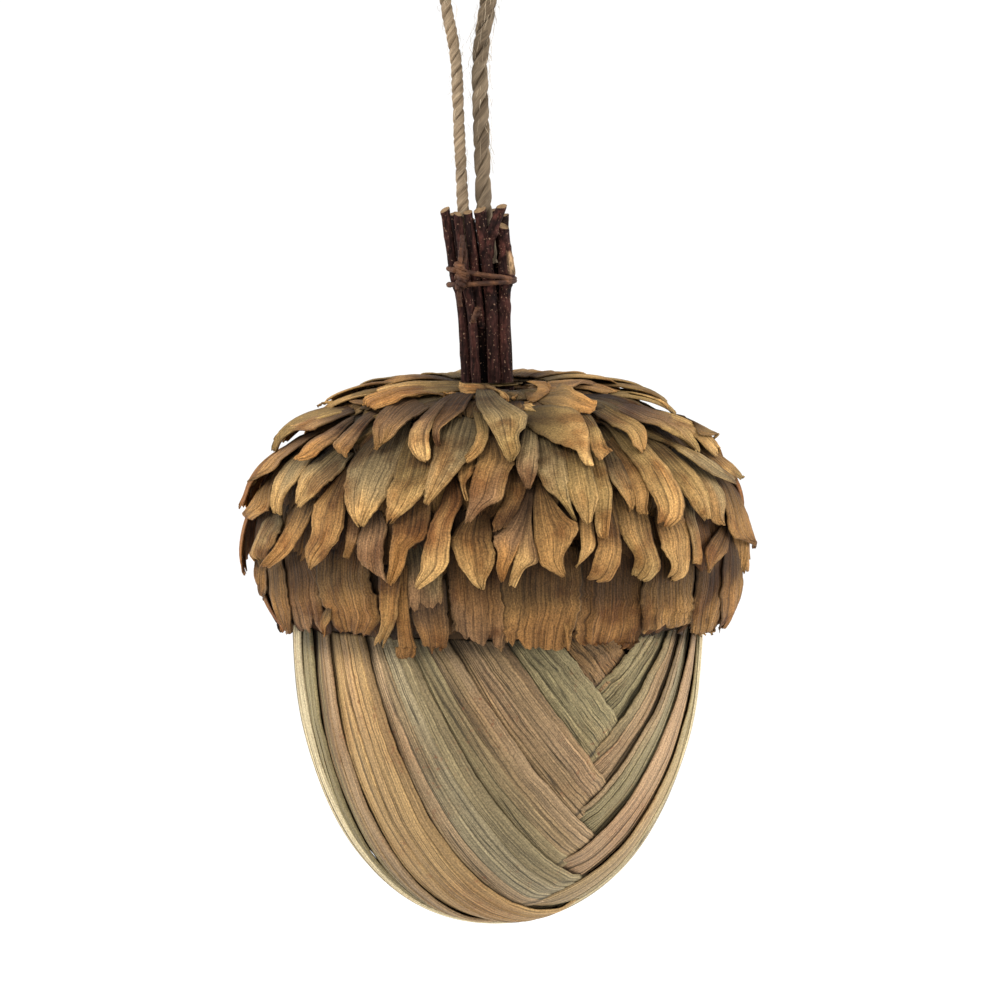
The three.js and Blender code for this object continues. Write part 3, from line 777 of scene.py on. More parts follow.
def cap_line():
    """The cap's outline from the stem's foot down to the rim petals' tips: height over the nut's
    middle and distance from the axis, at even steps."""
    ledge = -math.degrees(math.asin((CAP_LEDGE / CAP_RISE) ** (CAP_FULLNESS / 2)))
    rough = []
    for k in range(DOME_STEPS + 1):
        turn = math.radians(CAP_START + (ledge - CAP_START) * k / DOME_STEPS)
        out = CAP_RADIUS * abs(math.cos(turn)) ** (2 / CAP_FULLNESS)
        up = CAP_RISE * abs(math.sin(turn)) ** (2 / CAP_FULLNESS)
        rough.append(Vector((out, CAP_HEIGHT + math.copysign(up, turn))))
    corner = rough[-1]
    for k in range(1, LEDGE_STEPS + 1):
        rough.append(corner.lerp(Vector(RIM_TIP), k / LEDGE_STEPS))
    lengths = [0.0]
    for first, second in zip(rough, rough[1:]):
        lengths.append(lengths[-1] + (second - first).length)
    return rough, lengths


CAP_POINTS, CAP_LENGTHS = cap_line()
CAP_LENGTH = CAP_LENGTHS[-1]


def along_cap(along):
    """The outline's point and its way down at a distance along the cap."""
    along = clamp(along, 0.0, CAP_LENGTH - 1e-3)
    low, high = 0, len(CAP_LENGTHS) - 1
    while high - low > 1:
        half = (low + high) // 2
        if CAP_LENGTHS[half] <= along:
            low = half
        else:
            high = half
    share = (along - CAP_LENGTHS[low]) / (CAP_LENGTHS[high] - CAP_LENGTHS[low])
    ahead = CAP_POINTS[min(high + 3, len(CAP_POINTS) - 1)] - CAP_POINTS[max(0, low - 3)]
    return CAP_POINTS[low].lerp(CAP_POINTS[high], share), ahead.normalized()


def on_cap(turn, along, across, out):
    """A point over the cap: turned round the axis, along the outline, across it and out from it."""
    place, run = along_cap(along)
    place = place + run * (along - clamp(along, 0.0, CAP_LENGTH))
    radius = place.x - run.y * out
    angle = turn + across / max(place.x, 12)
    point = Vector((radius * math.sin(angle), -radius * math.cos(angle), place.y + run.x * out))
    beside = Vector((point.x - STEM_FOOT.x, point.y - STEM_FOOT.y))
    if beside.length < STEM_RADIUS:
        beside = beside.normalized() * STEM_RADIUS
        point.x, point.y = STEM_FOOT.x + beside.x, STEM_FOOT.y + beside.y
    return point + NUT_MIDDLE


def spot_grid():
    """Turns and distances along the cap with the pixels at which they are seen."""
    spots = []
    for degrees in range(-90, 91, 2):
        turn = math.radians(degrees)
        for j in range(GRID_STEPS + 1):
            along = CAP_LENGTH * j / GRID_STEPS
            spots.append((turn, along, *seen_at(on_cap(turn, along, 0, GRID_OUT))))
    return spots


CAP_SPOTS = spot_grid()


def cap_spot(x, y, out):
    """The turn and the distance along the cap of the place seen at a pixel, so far out from the cap."""
    turn, along, *_ = min(CAP_SPOTS, key=lambda spot: (spot[2] - x) ** 2 + (spot[3] - y) ** 2)
    for _ in range(6):
        here, aside, ahead = (seen_at(on_cap(turn + a, along + b, 0, out))
                              for a, b in ((0, 0), (TURN_NUDGE, 0), (0, ALONG_NUDGE)))
        sx, sy = ((there - start) / TURN_NUDGE for there, start in zip(aside, here))
        ax, ay = ((there - start) / ALONG_NUDGE for there, start in zip(ahead, here))
        area = sx * ay - sy * ax
        if abs(area) < 60:
            break
        dx, dy = x - here[0], y - here[1]
        turn += clamp((dx * ay - dy * ax) / area, -0.05, 0.05)
        along += clamp((dy * sx - dx * sy) / area, -2, 2)
    return turn, max(0, along)


OLIVE, TAWNY, HAY = aged(158, 134, 90), aged(158, 124, 80), aged(184, 152, 104)
GREYED, MAUVE, DARK = aged(144, 128, 98), aged(132, 104, 78), aged(96, 70, 44)
RUSSET, AMBER, CINNAMON = aged(142, 98, 58), aged(170, 128, 78), aged(134, 100, 62)
UPPER_TONES = [(OLIVE, HAY), (TAWNY, HAY), (GREYED, OLIVE), (MAUVE, TAWNY), (OLIVE, OLIVE), (DARK, TAWNY)]
LOWER_TONES = [(TAWNY, TAWNY), (CINNAMON, TAWNY), (CINNAMON, RUSSET), (TAWNY, AMBER), (MAUVE, CINNAMON)]
RIM_TONES = [(CINNAMON, DARK), (CINNAMON, CINNAMON), (TAWNY, CINNAMON), (CINNAMON, RUSSET)]

# The petal rows from the rim up: how many, the tips' distance from the rim along the cap, the petals'
# length and width, their root's and tip's height over the form, and how far the tip droops.
PETAL_ROWS = [
    ("petals_rim", 34, 0, 25, 15, 0.9, 2.6, 1.6),
    ("petals_row_2", 31, 18, 24, 14, 0.9, 3.6, 0.8),
    ("petals_row_3", 29, 31, 23, 14, 1.1, 3.9, 1.2),
    ("petals_row_4", 25, 44.5, 24, 15, 1.6, 3.9, 1.4),
    ("petals_row_5", 20, 58, 24, 15, 2.4, 4, 1.8),
    ("petals_row_6", 14, 71.5, 19, 14, 2.4, 3, 1.8),
    ("petals_collar", 8, 83, 9.5, 13, 1.6, 1.2, 0.6),
]

# The petals that the front shows: the row, counted from the rim, how far it is lifted, its colours at root
# and tip, and its two long edges from root to tip, as each place's pixel across and down.
FRONT_PETALS = [
    (0, 0, TAWNY, CINNAMON, (250, 545, 244, 560, 243, 573, 247, 588, 258, 597),
     (266, 545, 267, 562, 268, 578, 267, 590, 262, 598)),
    (0, 0, CINNAMON, MAUVE, (285, 558, 286, 578, 288, 600, 293, 615, 300, 634),
     (312, 555, 318, 575, 318, 595, 322, 615, 323, 636)),
    (0, 1, TAWNY, CINNAMON, (267, 560, 268, 580, 270, 600, 278, 620, 288, 637),
     (283, 560, 286, 578, 288, 600, 291, 615, 289, 637)),
    (0, 1, TAWNY, CINNAMON, (318, 555, 316, 578, 320, 600, 327, 615, 338, 639),
     (372, 555, 370, 580, 376, 600, 379, 622, 366, 640)),
    (0, 2.5, HAY, AMBER, (328, 606, 321, 616, 319, 626, 325, 635),
     (333, 606, 330, 620, 326, 626, 327, 634)),
    (0, 0, GREYED, MAUVE, (400, 545, 403, 570, 405, 595, 406, 620),
     (436, 545, 440, 570, 444, 595, 444, 622)),
    (0, 1, MAUVE, CINNAMON, (404, 585, 410, 615, 418, 635, 424, 653),
     (446, 585, 448, 610, 449, 635, 441, 656)),
    (0, 2.4, AMBER, CINNAMON, (393, 572, 394, 600, 397, 630, 396, 652, 403, 660),
     (408, 572, 408, 600, 411, 630, 415, 650, 411, 661)),
    (0, 3.2, AMBER, HAY, (379, 580, 379, 603, 381, 625, 374, 643),
     (402, 575, 398, 600, 394, 625, 376, 645)),
    (0, 0.3, CINNAMON, MAUVE, (446, 550, 448, 580, 451, 610, 453, 638),
     (506, 550, 505, 590, 506, 625, 504, 656)),
    (0, 1.6, TAWNY, CINNAMON, (503, 555, 501, 590, 505, 614, 502, 628, 506, 644),
     (580, 555, 581, 590, 580, 607, 574, 625, 568, 648)),
    (0, 0.5, CINNAMON, CINNAMON, (577, 550, 577, 590, 576, 610, 571, 628, 583, 645),
     (644, 550, 644, 590, 643, 615, 638, 640, 624, 650)),
    (0, 1.6, TAWNY, TAWNY, (641, 550, 642, 590, 642, 615, 641, 637),
     (692, 550, 693, 590, 694, 610, 693, 626)),
    (0, 0.4, CINNAMON, TAWNY, (695, 550, 697, 590, 694, 615, 695, 640),
     (726, 550, 728, 590, 722, 620, 708, 633)),
    (0, 1.4, TAWNY, CINNAMON, (722, 545, 724, 575, 722, 605, 718, 633),
     (740, 540, 748, 565, 747, 590, 724, 632)),
    (0, 2.6, TAWNY, AMBER, (556, 592, 562, 620, 566, 640, 569, 651),
     (577, 592, 574, 620, 572, 640, 571, 650)),
    (1, 0.6, GREYED, TAWNY, (271, 516, 263, 522, 257, 536, 252, 553, 258, 561),
     (282, 514, 281, 526, 276, 536, 272, 546, 261, 561)),
    (1, 1.8, TAWNY, AMBER, (295, 509, 288, 522, 280, 538, 271, 554, 263, 568),
     (316, 501, 310, 516, 302, 531, 292, 547, 279, 559, 265, 569)),
    (1, 2, TAWNY, TAWNY, (343, 471, 328, 487, 316, 501, 311, 516, 311, 534, 304, 549, 308, 569),
     (347, 475, 345, 493, 345, 514, 342, 533, 333, 548, 321, 562, 311, 570)),
    (1, 0.4, MAUVE, TAWNY, (348, 509, 347, 527, 346, 544, 347, 559),
     (362, 522, 359, 538, 353, 549, 348, 560)),
    (1, 1, MAUVE, MAUVE, (368, 514, 360, 531, 357, 545, 357, 557, 360, 565),
     (383, 514, 387, 527, 384, 543, 383, 563, 388, 586)),
    (1, 1.8, CINNAMON, AMBER, (392, 515, 392, 530, 391, 550, 388, 587),
     (434, 495, 429, 524, 423, 539, 409, 549, 402, 570, 390, 587)),
    (1, 1.2, RUSSET, HAY, (447, 486, 439, 505, 429, 526, 422, 552, 419, 570, 413, 589),
     (457, 479, 463, 499, 453, 521, 450, 545, 446, 569, 415, 591)),
    (1, 0.8, TAWNY, HAY, (461, 524, 452, 536, 453, 551, 460, 567, 471, 582, 480, 591),
     (490, 513, 491, 536, 495, 552, 493, 566, 486, 578, 483, 591)),
    (1, 0, TAWNY, DARK, (506, 478, 504, 499, 494, 519, 493, 533),
     (519, 474, 525, 487, 519, 507, 505, 531)),
    (1, 1.3, MAUVE, AMBER, (525, 494, 506, 524, 493, 538, 498, 554, 496, 569, 502, 582),
     (531, 498, 529, 521, 524, 538, 517, 552, 510, 566, 504, 582)),
    (1, 1.5, MAUVE, HAY, (529, 495, 526, 519, 520, 540, 516, 554, 512, 570, 508, 586),
     (537, 489, 532, 510, 533, 536, 538, 561, 525, 569, 514, 588)),
    (1, 2.2, TAWNY, TAWNY, (537, 475, 533, 510, 535, 545, 540, 564, 552, 572, 563, 579),
     (540, 482, 562, 511, 578, 525, 572, 541, 563, 558, 566, 576)),
    (1, 1.4, TAWNY, HAY, (579, 508, 579, 523, 580, 541, 579, 556, 576, 569),
     (590, 508, 595, 530, 596, 547, 589, 557, 578, 568)),
    (1, 1.8, TAWNY, TAWNY, (588, 503, 596, 528, 598, 545, 595, 555, 591, 571, 587, 580),
     (613, 500, 619, 523, 621, 541, 622, 554, 618, 569, 610, 580, 597, 584)),
    (1, 1.2, TAWNY, OLIVE, (612, 495, 616, 515, 620, 530, 627, 542, 636, 557, 633, 577),
     (640, 500, 648, 514, 652, 538, 657, 553, 659, 567, 651, 579, 641, 583)),
    (1, 1.6, TAWNY, HAY, (655, 512, 657, 527, 661, 542, 663, 552, 670, 564, 668, 579),
     (677, 505, 683, 516, 690, 531, 691, 542, 690, 565, 687, 577, 676, 583)),
    (1, 0.8, GREYED, TAWNY, (682, 500, 684, 516, 688, 530, 691, 548, 691, 565),
     (692, 497, 695, 514, 701, 532, 704, 552, 704, 567)),
    (1, 1.8, CINNAMON, TAWNY, (719, 528, 709, 542, 705, 551, 706, 565, 706, 571),
     (730, 528, 729, 548, 724, 557, 715, 565, 707, 572)),
    (1, 2, TAWNY, CINNAMON, (712, 478, 721, 492, 728, 520, 733, 536, 744, 541, 751, 549),
     (733, 480, 745, 495, 754, 505, 760, 523, 757, 537, 753, 550)),
    (2, 0.6, TAWNY, TAWNY, (261, 482, 252, 493, 243, 505, 241, 516),
     (276, 480, 269, 505, 262, 512, 249, 521)),
    (2, 0.8, GREYED, HAY, (308, 443, 286, 463, 276, 480, 272, 494, 271, 515),
     (322, 451, 308, 463, 298, 477, 287, 492, 277, 515)),
    (2, 1.4, GREYED, HAY, (332, 449, 310, 463, 300, 474, 295, 489, 293, 503),
     (352, 458, 339, 474, 326, 483, 315, 495, 300, 510)),
    (2, 1.6, GREYED, HAY, (380, 432, 352, 461, 346, 480, 346, 503, 350, 516, 360, 528),
     (411, 424, 405, 450, 389, 487, 380, 505, 373, 513, 362, 528)),
    (2, 2.2, OLIVE, HAY, (404, 440, 394, 475, 388, 491, 387, 508, 385, 525),
     (444, 440, 434, 470, 425, 491, 410, 508, 387, 524)),
    (2, 1, TAWNY, HAY, (461, 462, 458, 472, 462, 487, 467, 503),
     (476, 460, 474, 470, 465, 485, 468, 502)),
    (2, 1.8, TAWNY, MAUVE, (485, 440, 478, 455, 474, 471, 470, 490, 468, 507, 462, 526),
     (500, 442, 514, 460, 512, 468, 506, 486, 501, 500, 485, 508, 472, 521)),
    (2, 1.4, GREYED, OLIVE, (532, 430, 536, 455, 537, 471, 545, 488, 558, 499, 577, 522),
     (552, 432, 563, 450, 567, 470, 571, 495, 573, 509, 579, 522)),
    (2, 2.4, OLIVE, HAY, (560, 440, 566, 470, 569, 491, 579, 514, 586, 525),
     (580, 440, 592, 470, 598, 495, 595, 508, 589, 525)),
    (2, 1.6, OLIVE, HAY, (575, 440, 588, 470, 594, 500, 597, 530, 603, 540),
     (592, 440, 604, 462, 611, 492, 608, 517, 605, 540)),
    (2, 0.8, GREYED, TAWNY, (597, 445, 604, 462, 608, 475, 618, 490, 626, 503, 631, 512),
     (612, 445, 622, 462, 630, 480, 634, 496, 633, 512)),
    (2, 1.2, TAWNY, TAWNY, (608, 445, 622, 465, 634, 495, 637, 506, 640, 516),
     (617, 440, 633, 462, 647, 487, 646, 504, 643, 516)),
    (2, 2, OLIVE, TAWNY, (603, 425, 620, 447, 640, 470, 648, 489, 657, 507, 657, 525),
     (620, 425, 642, 440, 662, 460, 679, 485, 683, 514, 668, 531)),
    (2, 1.2, OLIVE, HAY, (648, 450, 665, 470, 680, 485, 690, 499, 699, 512, 707, 522),
     (655, 440, 680, 458, 697, 477, 706, 493, 708, 508, 708, 521)),
    (2, 0.4, GREYED, TAWNY, (672, 452, 690, 470, 703, 485, 709, 505, 713, 520, 720, 527),
     (682, 448, 702, 462, 717, 484, 724, 500, 723, 515, 722, 527)),
    (3, 0.4, MAUVE, TAWNY, (308, 434, 286, 439, 267, 453, 256, 470, 249, 486),
     (327, 429, 308, 441, 286, 458, 271, 473, 258, 486)),
    (3, 1.8, GREYED, HAY, (440, 425, 433, 455, 426, 490, 425, 506),
     (480, 422, 474, 445, 460, 468, 444, 487, 427, 506)),
    (3, 1, GREYED, MAUVE, (524, 427, 518, 450, 517, 467, 527, 489),
     (536, 428, 539, 450, 537, 471, 530, 490)),
    (3, 1, OLIVE, GREYED, (647, 438, 669, 445, 678, 452, 693, 462, 709, 474, 731, 487),
     (646, 427, 666, 438, 684, 445, 703, 453, 719, 464, 735, 482)),
    (3, 0.2, TAWNY, OLIVE, (700, 452, 716, 464, 728, 474, 738, 481, 744, 480),
     (699, 439, 722, 452, 738, 464, 745, 474, 747, 478)),
    (4, 0.6, MAUVE, HAY, (351, 399, 330, 407, 313, 413, 297, 421, 287, 430, 276, 438),
     (351, 414, 334, 420, 320, 426, 308, 431, 292, 434, 277, 441)),
    (4, 0.2, MAUVE, AMBER, (351, 418, 332, 428, 314, 439, 303, 450, 297, 461),
     (351, 425, 339, 436, 325, 446, 313, 456, 298, 463)),
    (4, 0.6, MAUVE, TAWNY, (368, 414, 350, 427, 339, 437, 333, 445, 338, 453),
     (376, 418, 363, 430, 354, 443, 348, 452, 345, 457)),
    (4, 1.4, MAUVE, TAWNY, (402, 397, 380, 412, 373, 423, 373, 439, 376, 452),
     (429, 410, 413, 418, 401, 428, 393, 437, 385, 447)),
    (4, 0.8, OLIVE, TAWNY, (472, 406, 476, 425, 476, 438, 471, 449, 465, 459),
     (485, 418, 489, 429, 486, 443, 479, 453, 466, 464)),
    (4, 1.2, MAUVE, HAY, (447, 396, 425, 412, 412, 424, 408, 440, 412, 453, 423, 463),
     (452, 399, 440, 411, 432, 424, 429, 438, 431, 455, 428, 463)),
    (4, 1, DARK, MAUVE, (452, 396, 437, 412, 432, 424, 434, 438, 439, 447),
     (474, 395, 466, 407, 452, 419, 440, 429, 439, 438, 440, 446)),
    (4, 1.8, GREYED, OLIVE, (476, 392, 478, 407, 485, 418, 495, 436, 505, 455, 510, 464),
     (494, 392, 508, 402, 526, 413, 525, 426, 519, 434, 520, 449, 512, 464)),
    (4, 1, OLIVE, HAY, (526, 426, 541, 436, 563, 446, 575, 452, 585, 464, 594, 469),
     (528, 408, 550, 404, 575, 408, 588, 425, 591, 445, 595, 468)),
    (4, 1.2, OLIVE, TAWNY, (568, 410, 585, 422, 590, 440, 594, 452, 600, 462),
     (585, 411, 597, 425, 603, 437, 607, 447, 613, 453)),
    (4, 0.8, OLIVE, TAWNY, (590, 413, 610, 424, 626, 432, 635, 446, 643, 454),
     (596, 402, 616, 410, 640, 422, 648, 434, 646, 449)),
    (4, 0.8, MAUVE, OLIVE, (610, 407, 636, 419, 656, 425, 668, 433, 679, 440, 699, 452),
     (640, 402, 660, 408, 672, 417, 689, 429, 697, 439, 704, 449)),
    (4, 0.2, DARK, OLIVE, (669, 417, 684, 424, 699, 434, 709, 439, 715, 442),
     (668, 410, 684, 417, 703, 426, 712, 434, 716, 440)),
    (4, 0.4, HAY, HAY, (344, 395, 327, 396, 320, 402, 317, 408),
     (351, 398, 339, 401, 327, 406, 319, 409)),
    (5, 0.6, TAWNY, AMBER, (450, 384, 425, 383, 400, 387, 380, 393, 363, 407),
     (443, 396, 430, 393, 407, 396, 395, 402, 372, 410)),
    (5, 1, HAY, AMBER, (538, 402, 552, 406, 572, 409, 587, 412, 595, 412),
     (545, 394, 560, 389, 573, 391, 586, 397, 597, 407)),
    (5, 0.4, OLIVE, HAY, (600, 390, 622, 394, 635, 401, 656, 404, 666, 410),
     (601, 382, 622, 382, 642, 386, 658, 397, 667, 408)),
    (5, 0.2, TAWNY, MAUVE, (530, 391, 555, 391, 580, 389, 601, 382),
     (530, 381, 555, 374, 580, 371, 605, 375)),
    (5, 0.2, OLIVE, HAY, (465, 381, 430, 380, 400, 384, 377, 393),
     (465, 390, 430, 392, 400, 395, 379, 397)),
    (5, 0, MAUVE, TAWNY, (390, 393, 365, 394, 345, 396, 337, 400),
     (380, 402, 360, 403, 345, 405, 338, 405)),
    (6, 1, TAWNY, AMBER, (461, 386, 454, 384, 446, 391, 443, 397),
     (463, 393, 454, 394, 448, 396, 444, 398)),
    (6, 1.4, TAWNY, HAY, (489, 383, 478, 385, 468, 387, 459, 385),
     (489, 391, 478, 393, 466, 392, 459, 390)),
    (6, 1.4, HAY, TAWNY, (491, 381, 493, 390, 501, 398, 507, 402),
     (495, 384, 501, 391, 509, 394, 509, 401)),
    (6, 1.6, TAWNY, CINNAMON, (525, 393, 528, 399, 537, 400, 546, 392),
     (528, 385, 537, 381, 543, 384, 547, 390)),
    (6, 0.8, TAWNY, TAWNY, (511, 391, 511, 398, 514, 401), (524, 391, 518, 395, 515, 401)),
    (6, 1, HAY, OLIVE, (511, 402, 520, 409, 531, 412, 538, 415),
     (520, 403, 537, 400, 538, 407, 539, 414)),
]

# Each kind of hidden or guessed petal: its widest place along it, how full it stays from there on, how
# round its tip is, its root's width as a share and how ragged its end is.
PETAL_KINDS = {"pointed": (0.38, 1.6, 0.9, 0.6, 0.04), "tongue": (0.5, 2.4, 0.72, 0.6, 0.05),
               "blunt": (0.6, 4.5, 0.62, 0.7, 0.1), "sheet": (0.6, 12, 0.4, 0.88, 0.2)}
EDGE_STEPS = 40  # on a traced petal's edge
SIDE_TURN, WIDEST_SEEN = 0.9, 15  # past this turn, in radians, a traced petal is held to this width
TRACED_LIGHT = {0: 0.82, 1: 1.02}  # tones of rows that hang in the others' shade
TRACED_SEED, UNDER_SEED = 9000, 5000
TRACED_CELLS, HIDDEN_CELLS, PLAIN_CELLS = 24, (7, 10), (12, 16)
PETAL_WALL = 0.3
CAP_MIDDLE = NUT_MIDDLE + Vector((0, 0, 5))


def add_petal(shell, lay, size, heights, tones, shade, ragged, seed, cells):
    """One dried petal. lay gives the turn, and the distances along and across the cap, of a place at x
    from -1 to 1 across the petal and v from 0 to 1 along it. size is its width and length, and heights
    are its root's height, its rise and its droop."""
    picks = random.Random(seed)
    width = size[0]
    cup = picks.choice((1, 1, 1, 1, -0.6)) * picks.uniform(0.2, 1) * min(1, width / 7)
    skew, rib = picks.uniform(-0.9, 0.9), picks.choice((0, 0, 0.5))
    lip = picks.choice((0, 0, 0.5, 1, -0.9))
    slit = (picks.uniform(-0.6, 0.6), picks.choice((0, 0.14, 0.28)) if width > 5 else 0)
    tones = [tone * picks.uniform(0.86, 1.12) for tone in tones]
    rim = heights[0] < 3 and heights[1] < 3  # low and wide, as the sheets of the rim are
    wrinkle = (0.3 + 0.015 * width) * (1.8 if rim else 1)
    columns, rows = cells

    def where(i, j):
        x, v = 2 * i / columns - 1, j / rows
        torn = 0.55 + 0.8 * ripple(x * width * 0.22, seed, 4) + 0.5 * ripple(x * width * 0.8, seed, 5)
        torn = ragged * (torn + slit[1] * 5 * math.exp(-(((x - slit[0]) / 0.14) ** 2)))
        return x, v * (1 - max(0, torn) * v * v)

    def bend(i, j):
        x, v = where(i, j)
        turn, along, across = lay(x, v)
        full = 1 - 0.8 * v ** 5
        out = standing(heights, v)
        out += cup * (1 - x * x) * (0.3 + 0.7 * v) * full + skew * x * v
        out += lip * smoothstep(0.78, 1, v) ** 2
        out -= rib * math.exp(-((x / 0.16) ** 2)) * v
        out += v * (0.7 * ripple(x * 1.4, v * 2.2, seed + 1) + 0.3 * ripple(x * 4, v * 3, seed + 2))
        out += wrinkle * (0.3 + 0.7 * v) * ripple(x * width * 0.4, v * 0.8, seed + 11)
        return on_cap(turn, along, across, max(out, 0.3))

    def paint(i, j):
        x, v = where(i, j)
        share = smoothstep(0.2, 0.9, v + 0.35 * ripple(x * 1.2, v * 2, seed + 7))
        colour = tones[0].lerp(tones[1], share)
        edge = smoothstep(0.75, 1, abs(x)) * 0.22 + smoothstep(0.9, 1, v) * 0.2
        colour = colour.lerp(HAY, max(0, edge * (0.7 + ripple(v * 4, x, seed + 3))))
        # Painted shade at the root, under the petals above; on the rim sheets it reaches further along.
        dark = 0.7 * (1 - smoothstep(0.2, 0.66, v) if rim else 1 - smoothstep(0.05, 0.5, v))
        # Painted shade along the petal's sides, where its neighbours lie over it.
        outline = 1 - (0.6 if rim else 0.25) * smoothstep(0.88, 1, abs(x))
        # shade darkens the whole petal as painted shade.
        return colour * (1 + 0.24 * ripple(x * 1.3, v * 2, seed + 6)), (1 - dark) * outline * shade

    add_sheet(shell, shares(columns), shares(rows), bend, paint, size)


def standing(heights, v):
    """How far a petal stands out from the cap at a share of its length."""
    base, rise, droop = heights
    return base + rise * (1 - (1 - v) ** 1.8) - droop * v ** 5


def traced_lay(first, second, heights, run_on, seed):
    """Lays a petal between two edges given in pixels, with its root run on under the petals above. One
    near the cap's side isn't let to spread far round, out of the photo's sight."""
    edges = []
    for pixels in (first, second):
        points = list(zip(pixels[::2], pixels[1::2]))
        spots = []
        for k, (x, y) in enumerate(points):
            out = standing(heights, k / (len(points) - 1))
            spots.append(Vector((*cap_spot(x, y, out), 0)))
        spots[0] += (spots[0] - spots[1]) * run_on
        edges.append(smooth_line(spots, EDGE_STEPS))
    for pair in zip(*edges):
        near, far = sorted(pair, key=lambda spot: abs(spot.x))
        wide = abs(far.x - near.x) * along_cap(near.y)[0].x
        if abs(far.x) > SIDE_TURN and wide > WIDEST_SEEN:
            far.x = near.x + (far.x - near.x) * WIDEST_SEEN / wide

    def lay(x, v):
        low = min(EDGE_STEPS - 1, int(v * EDGE_STEPS))
        left, right = (edge[low].lerp(edge[low + 1], v * EDGE_STEPS - low) for edge in edges)
        uneven = 0.5 + 0.05 * ripple(v * 9, x, seed) + 0.04 * ripple(v * 23, x, seed)
        spot = left.lerp(right, 0.5 + x * uneven)
        return spot.x, spot.y, 0

    middle = [(left + right) / 2 for left, right in zip(*edges)]
    reach = [along_cap(spot.y)[0].x for spot in middle]
    width = max((b - a).x * r if abs((b - a).x * r) > abs((b - a).y) else (b - a).y
                for a, b, r in zip(*edges, reach))
    length = sum(math.hypot((b.x - a.x) * r, b.y - a.y) for a, b, r in zip(middle, middle[1:], reach))
    return lay, (abs(width), length)


def free_lay(place, size, kind, seed):
    """Lays a petal straight from its root, with the outline of its kind."""
    picks = random.Random(seed + 70000)
    width, length = size
    bow, hook = picks.uniform(-1, 1), picks.choice((-1, 0, 0, 1)) * picks.uniform(0.6, 2.2)
    widest, full, blunt, waist, _ = PETAL_KINDS[kind]
    ahead, aside = math.cos(place["heading"]), math.sin(place["heading"])

    def half_width(v):
        if v < widest:
            return waist + (1 - waist) * smoothstep(0, widest, v)
        return max(0.05, max(0, 1 - ((v - widest) / (1 - widest)) ** full) ** blunt)

    def lay(x, v):
        run = length * v
        edge = 1 + 0.14 * ripple(v * 3, x, seed + 9) + 0.09 * ripple(v * 9, x * 1.2, seed + 10)
        beside = x * width / 2 * half_width(v) * edge
        beside += bow * math.sin(math.pi * v) + hook * v ** 4 * min(1, width / 6)
        return place["turn"], place["root"] + run * ahead - beside * aside, run * aside + beside * ahead

    return lay


def add_front_petals(shell, r, base, rise, droop):
    """Adds the traced petals of a row. The collar's roots show, so they aren't run on."""
    for k, (row, lift, root_tone, tip_tone, first, second) in enumerate(FRONT_PETALS):
        if row != r:
            continue
        seed = TRACED_SEED + k
        heights = (base + 0.6 + 0.8 * lift, rise, droop)
        lay, size = traced_lay(first, second, heights, 0.25 if r < 6 else 0, seed)
        light = TRACED_LIGHT.get(r, 1.14)
        ragged = 0.05 if r else 0.12
        columns = clamp(round(size[0] * 1.6), 8, 26)
        add_petal(shell, lay, size, heights, (root_tone * light, tip_tone * light), 1, ragged, seed,
                  (columns, TRACED_CELLS))


def make_petals(material):
    """Every row: petals all round, short and darkened with painted shade in front, with more under them,
    also darkened with painted shade, then the traced ones.
    """
    for r, (name, count, gap, full_length, full_width, base, rise, droop) in enumerate(PETAL_ROWS):
        shell = new_shell()
        pitch = 2 * math.pi / count
        tones = RIM_TONES if r == 0 else LOWER_TONES if r < 3 else UPPER_TONES
        kinds = ["blunt", "sheet", "tongue"] if r == 0 else ["pointed", "blunt", "blunt", "tongue"]
        for i in range(count):
            picks = random.Random(1000 * r + i)
            length = full_length * (1 + 0.1 * (chance(i, r + 20) - 0.5))
            tip = CAP_LENGTH - gap - 2.4 * chance(i, r + 40)
            turn = pitch * (i + 0.5 * (r % 2) + 0.2 * (chance(i, r) - 0.5))
            front = math.cos(turn) > (0.25 if r < 4 else 0.1)
            place = {"turn": turn, "root": tip - length, "heading": picks.uniform(-0.22, 0.22)}
            width = full_width * picks.uniform(0.8, 1.25)
            kind = picks.choice(kinds)
            behind = base + (2.4 * smoothstep(0, 0.6, -math.cos(turn)) if r in (4, 5) else 0)
            fuller = 1 + 0.5 * smoothstep(0.3, 0.9, -math.sin(turn)) if 0 < r < 4 else 1
            fill = (behind - base / 2, rise * (0.4 if r < 4 else 0.8), droop)
            if name != "petals_collar":
                under = dict(place, turn=turn + pitch * picks.uniform(0.4, 0.6), root=place["root"] - 1)
                size = (width * 0.9, length - picks.uniform(-1, 2) - 3 * front)
                seed = UNDER_SEED + 100 * r + i
                # Each petal beneath is darkened with painted shade, most in front, so the gaps between the
                # petals over it read dark.
                add_petal(shell, free_lay(under, size, kind, seed), size, fill, picks.choice(tones),
                          0.22 if front else 0.5, 0.1, seed, HIDDEN_CELLS)
            size = (width, length - 3 * front)
            seed = 100 * r + i
            # In front the plain petals lie under the traced ones and are darkened with painted shade.
            add_petal(shell, free_lay(place, size, kind, seed), size,
                      (behind, rise * (0.4 if front else fuller), droop), picks.choice(tones),
                      0.34 if front else 1, PETAL_KINDS[kind][4], seed, PLAIN_CELLS)
        add_front_petals(shell, r, base, rise, droop)
        make_piece(name.replace("petals", "cap_petals"), shell, material, [name], PETAL_WALL,
                   CAP_MIDDLE)


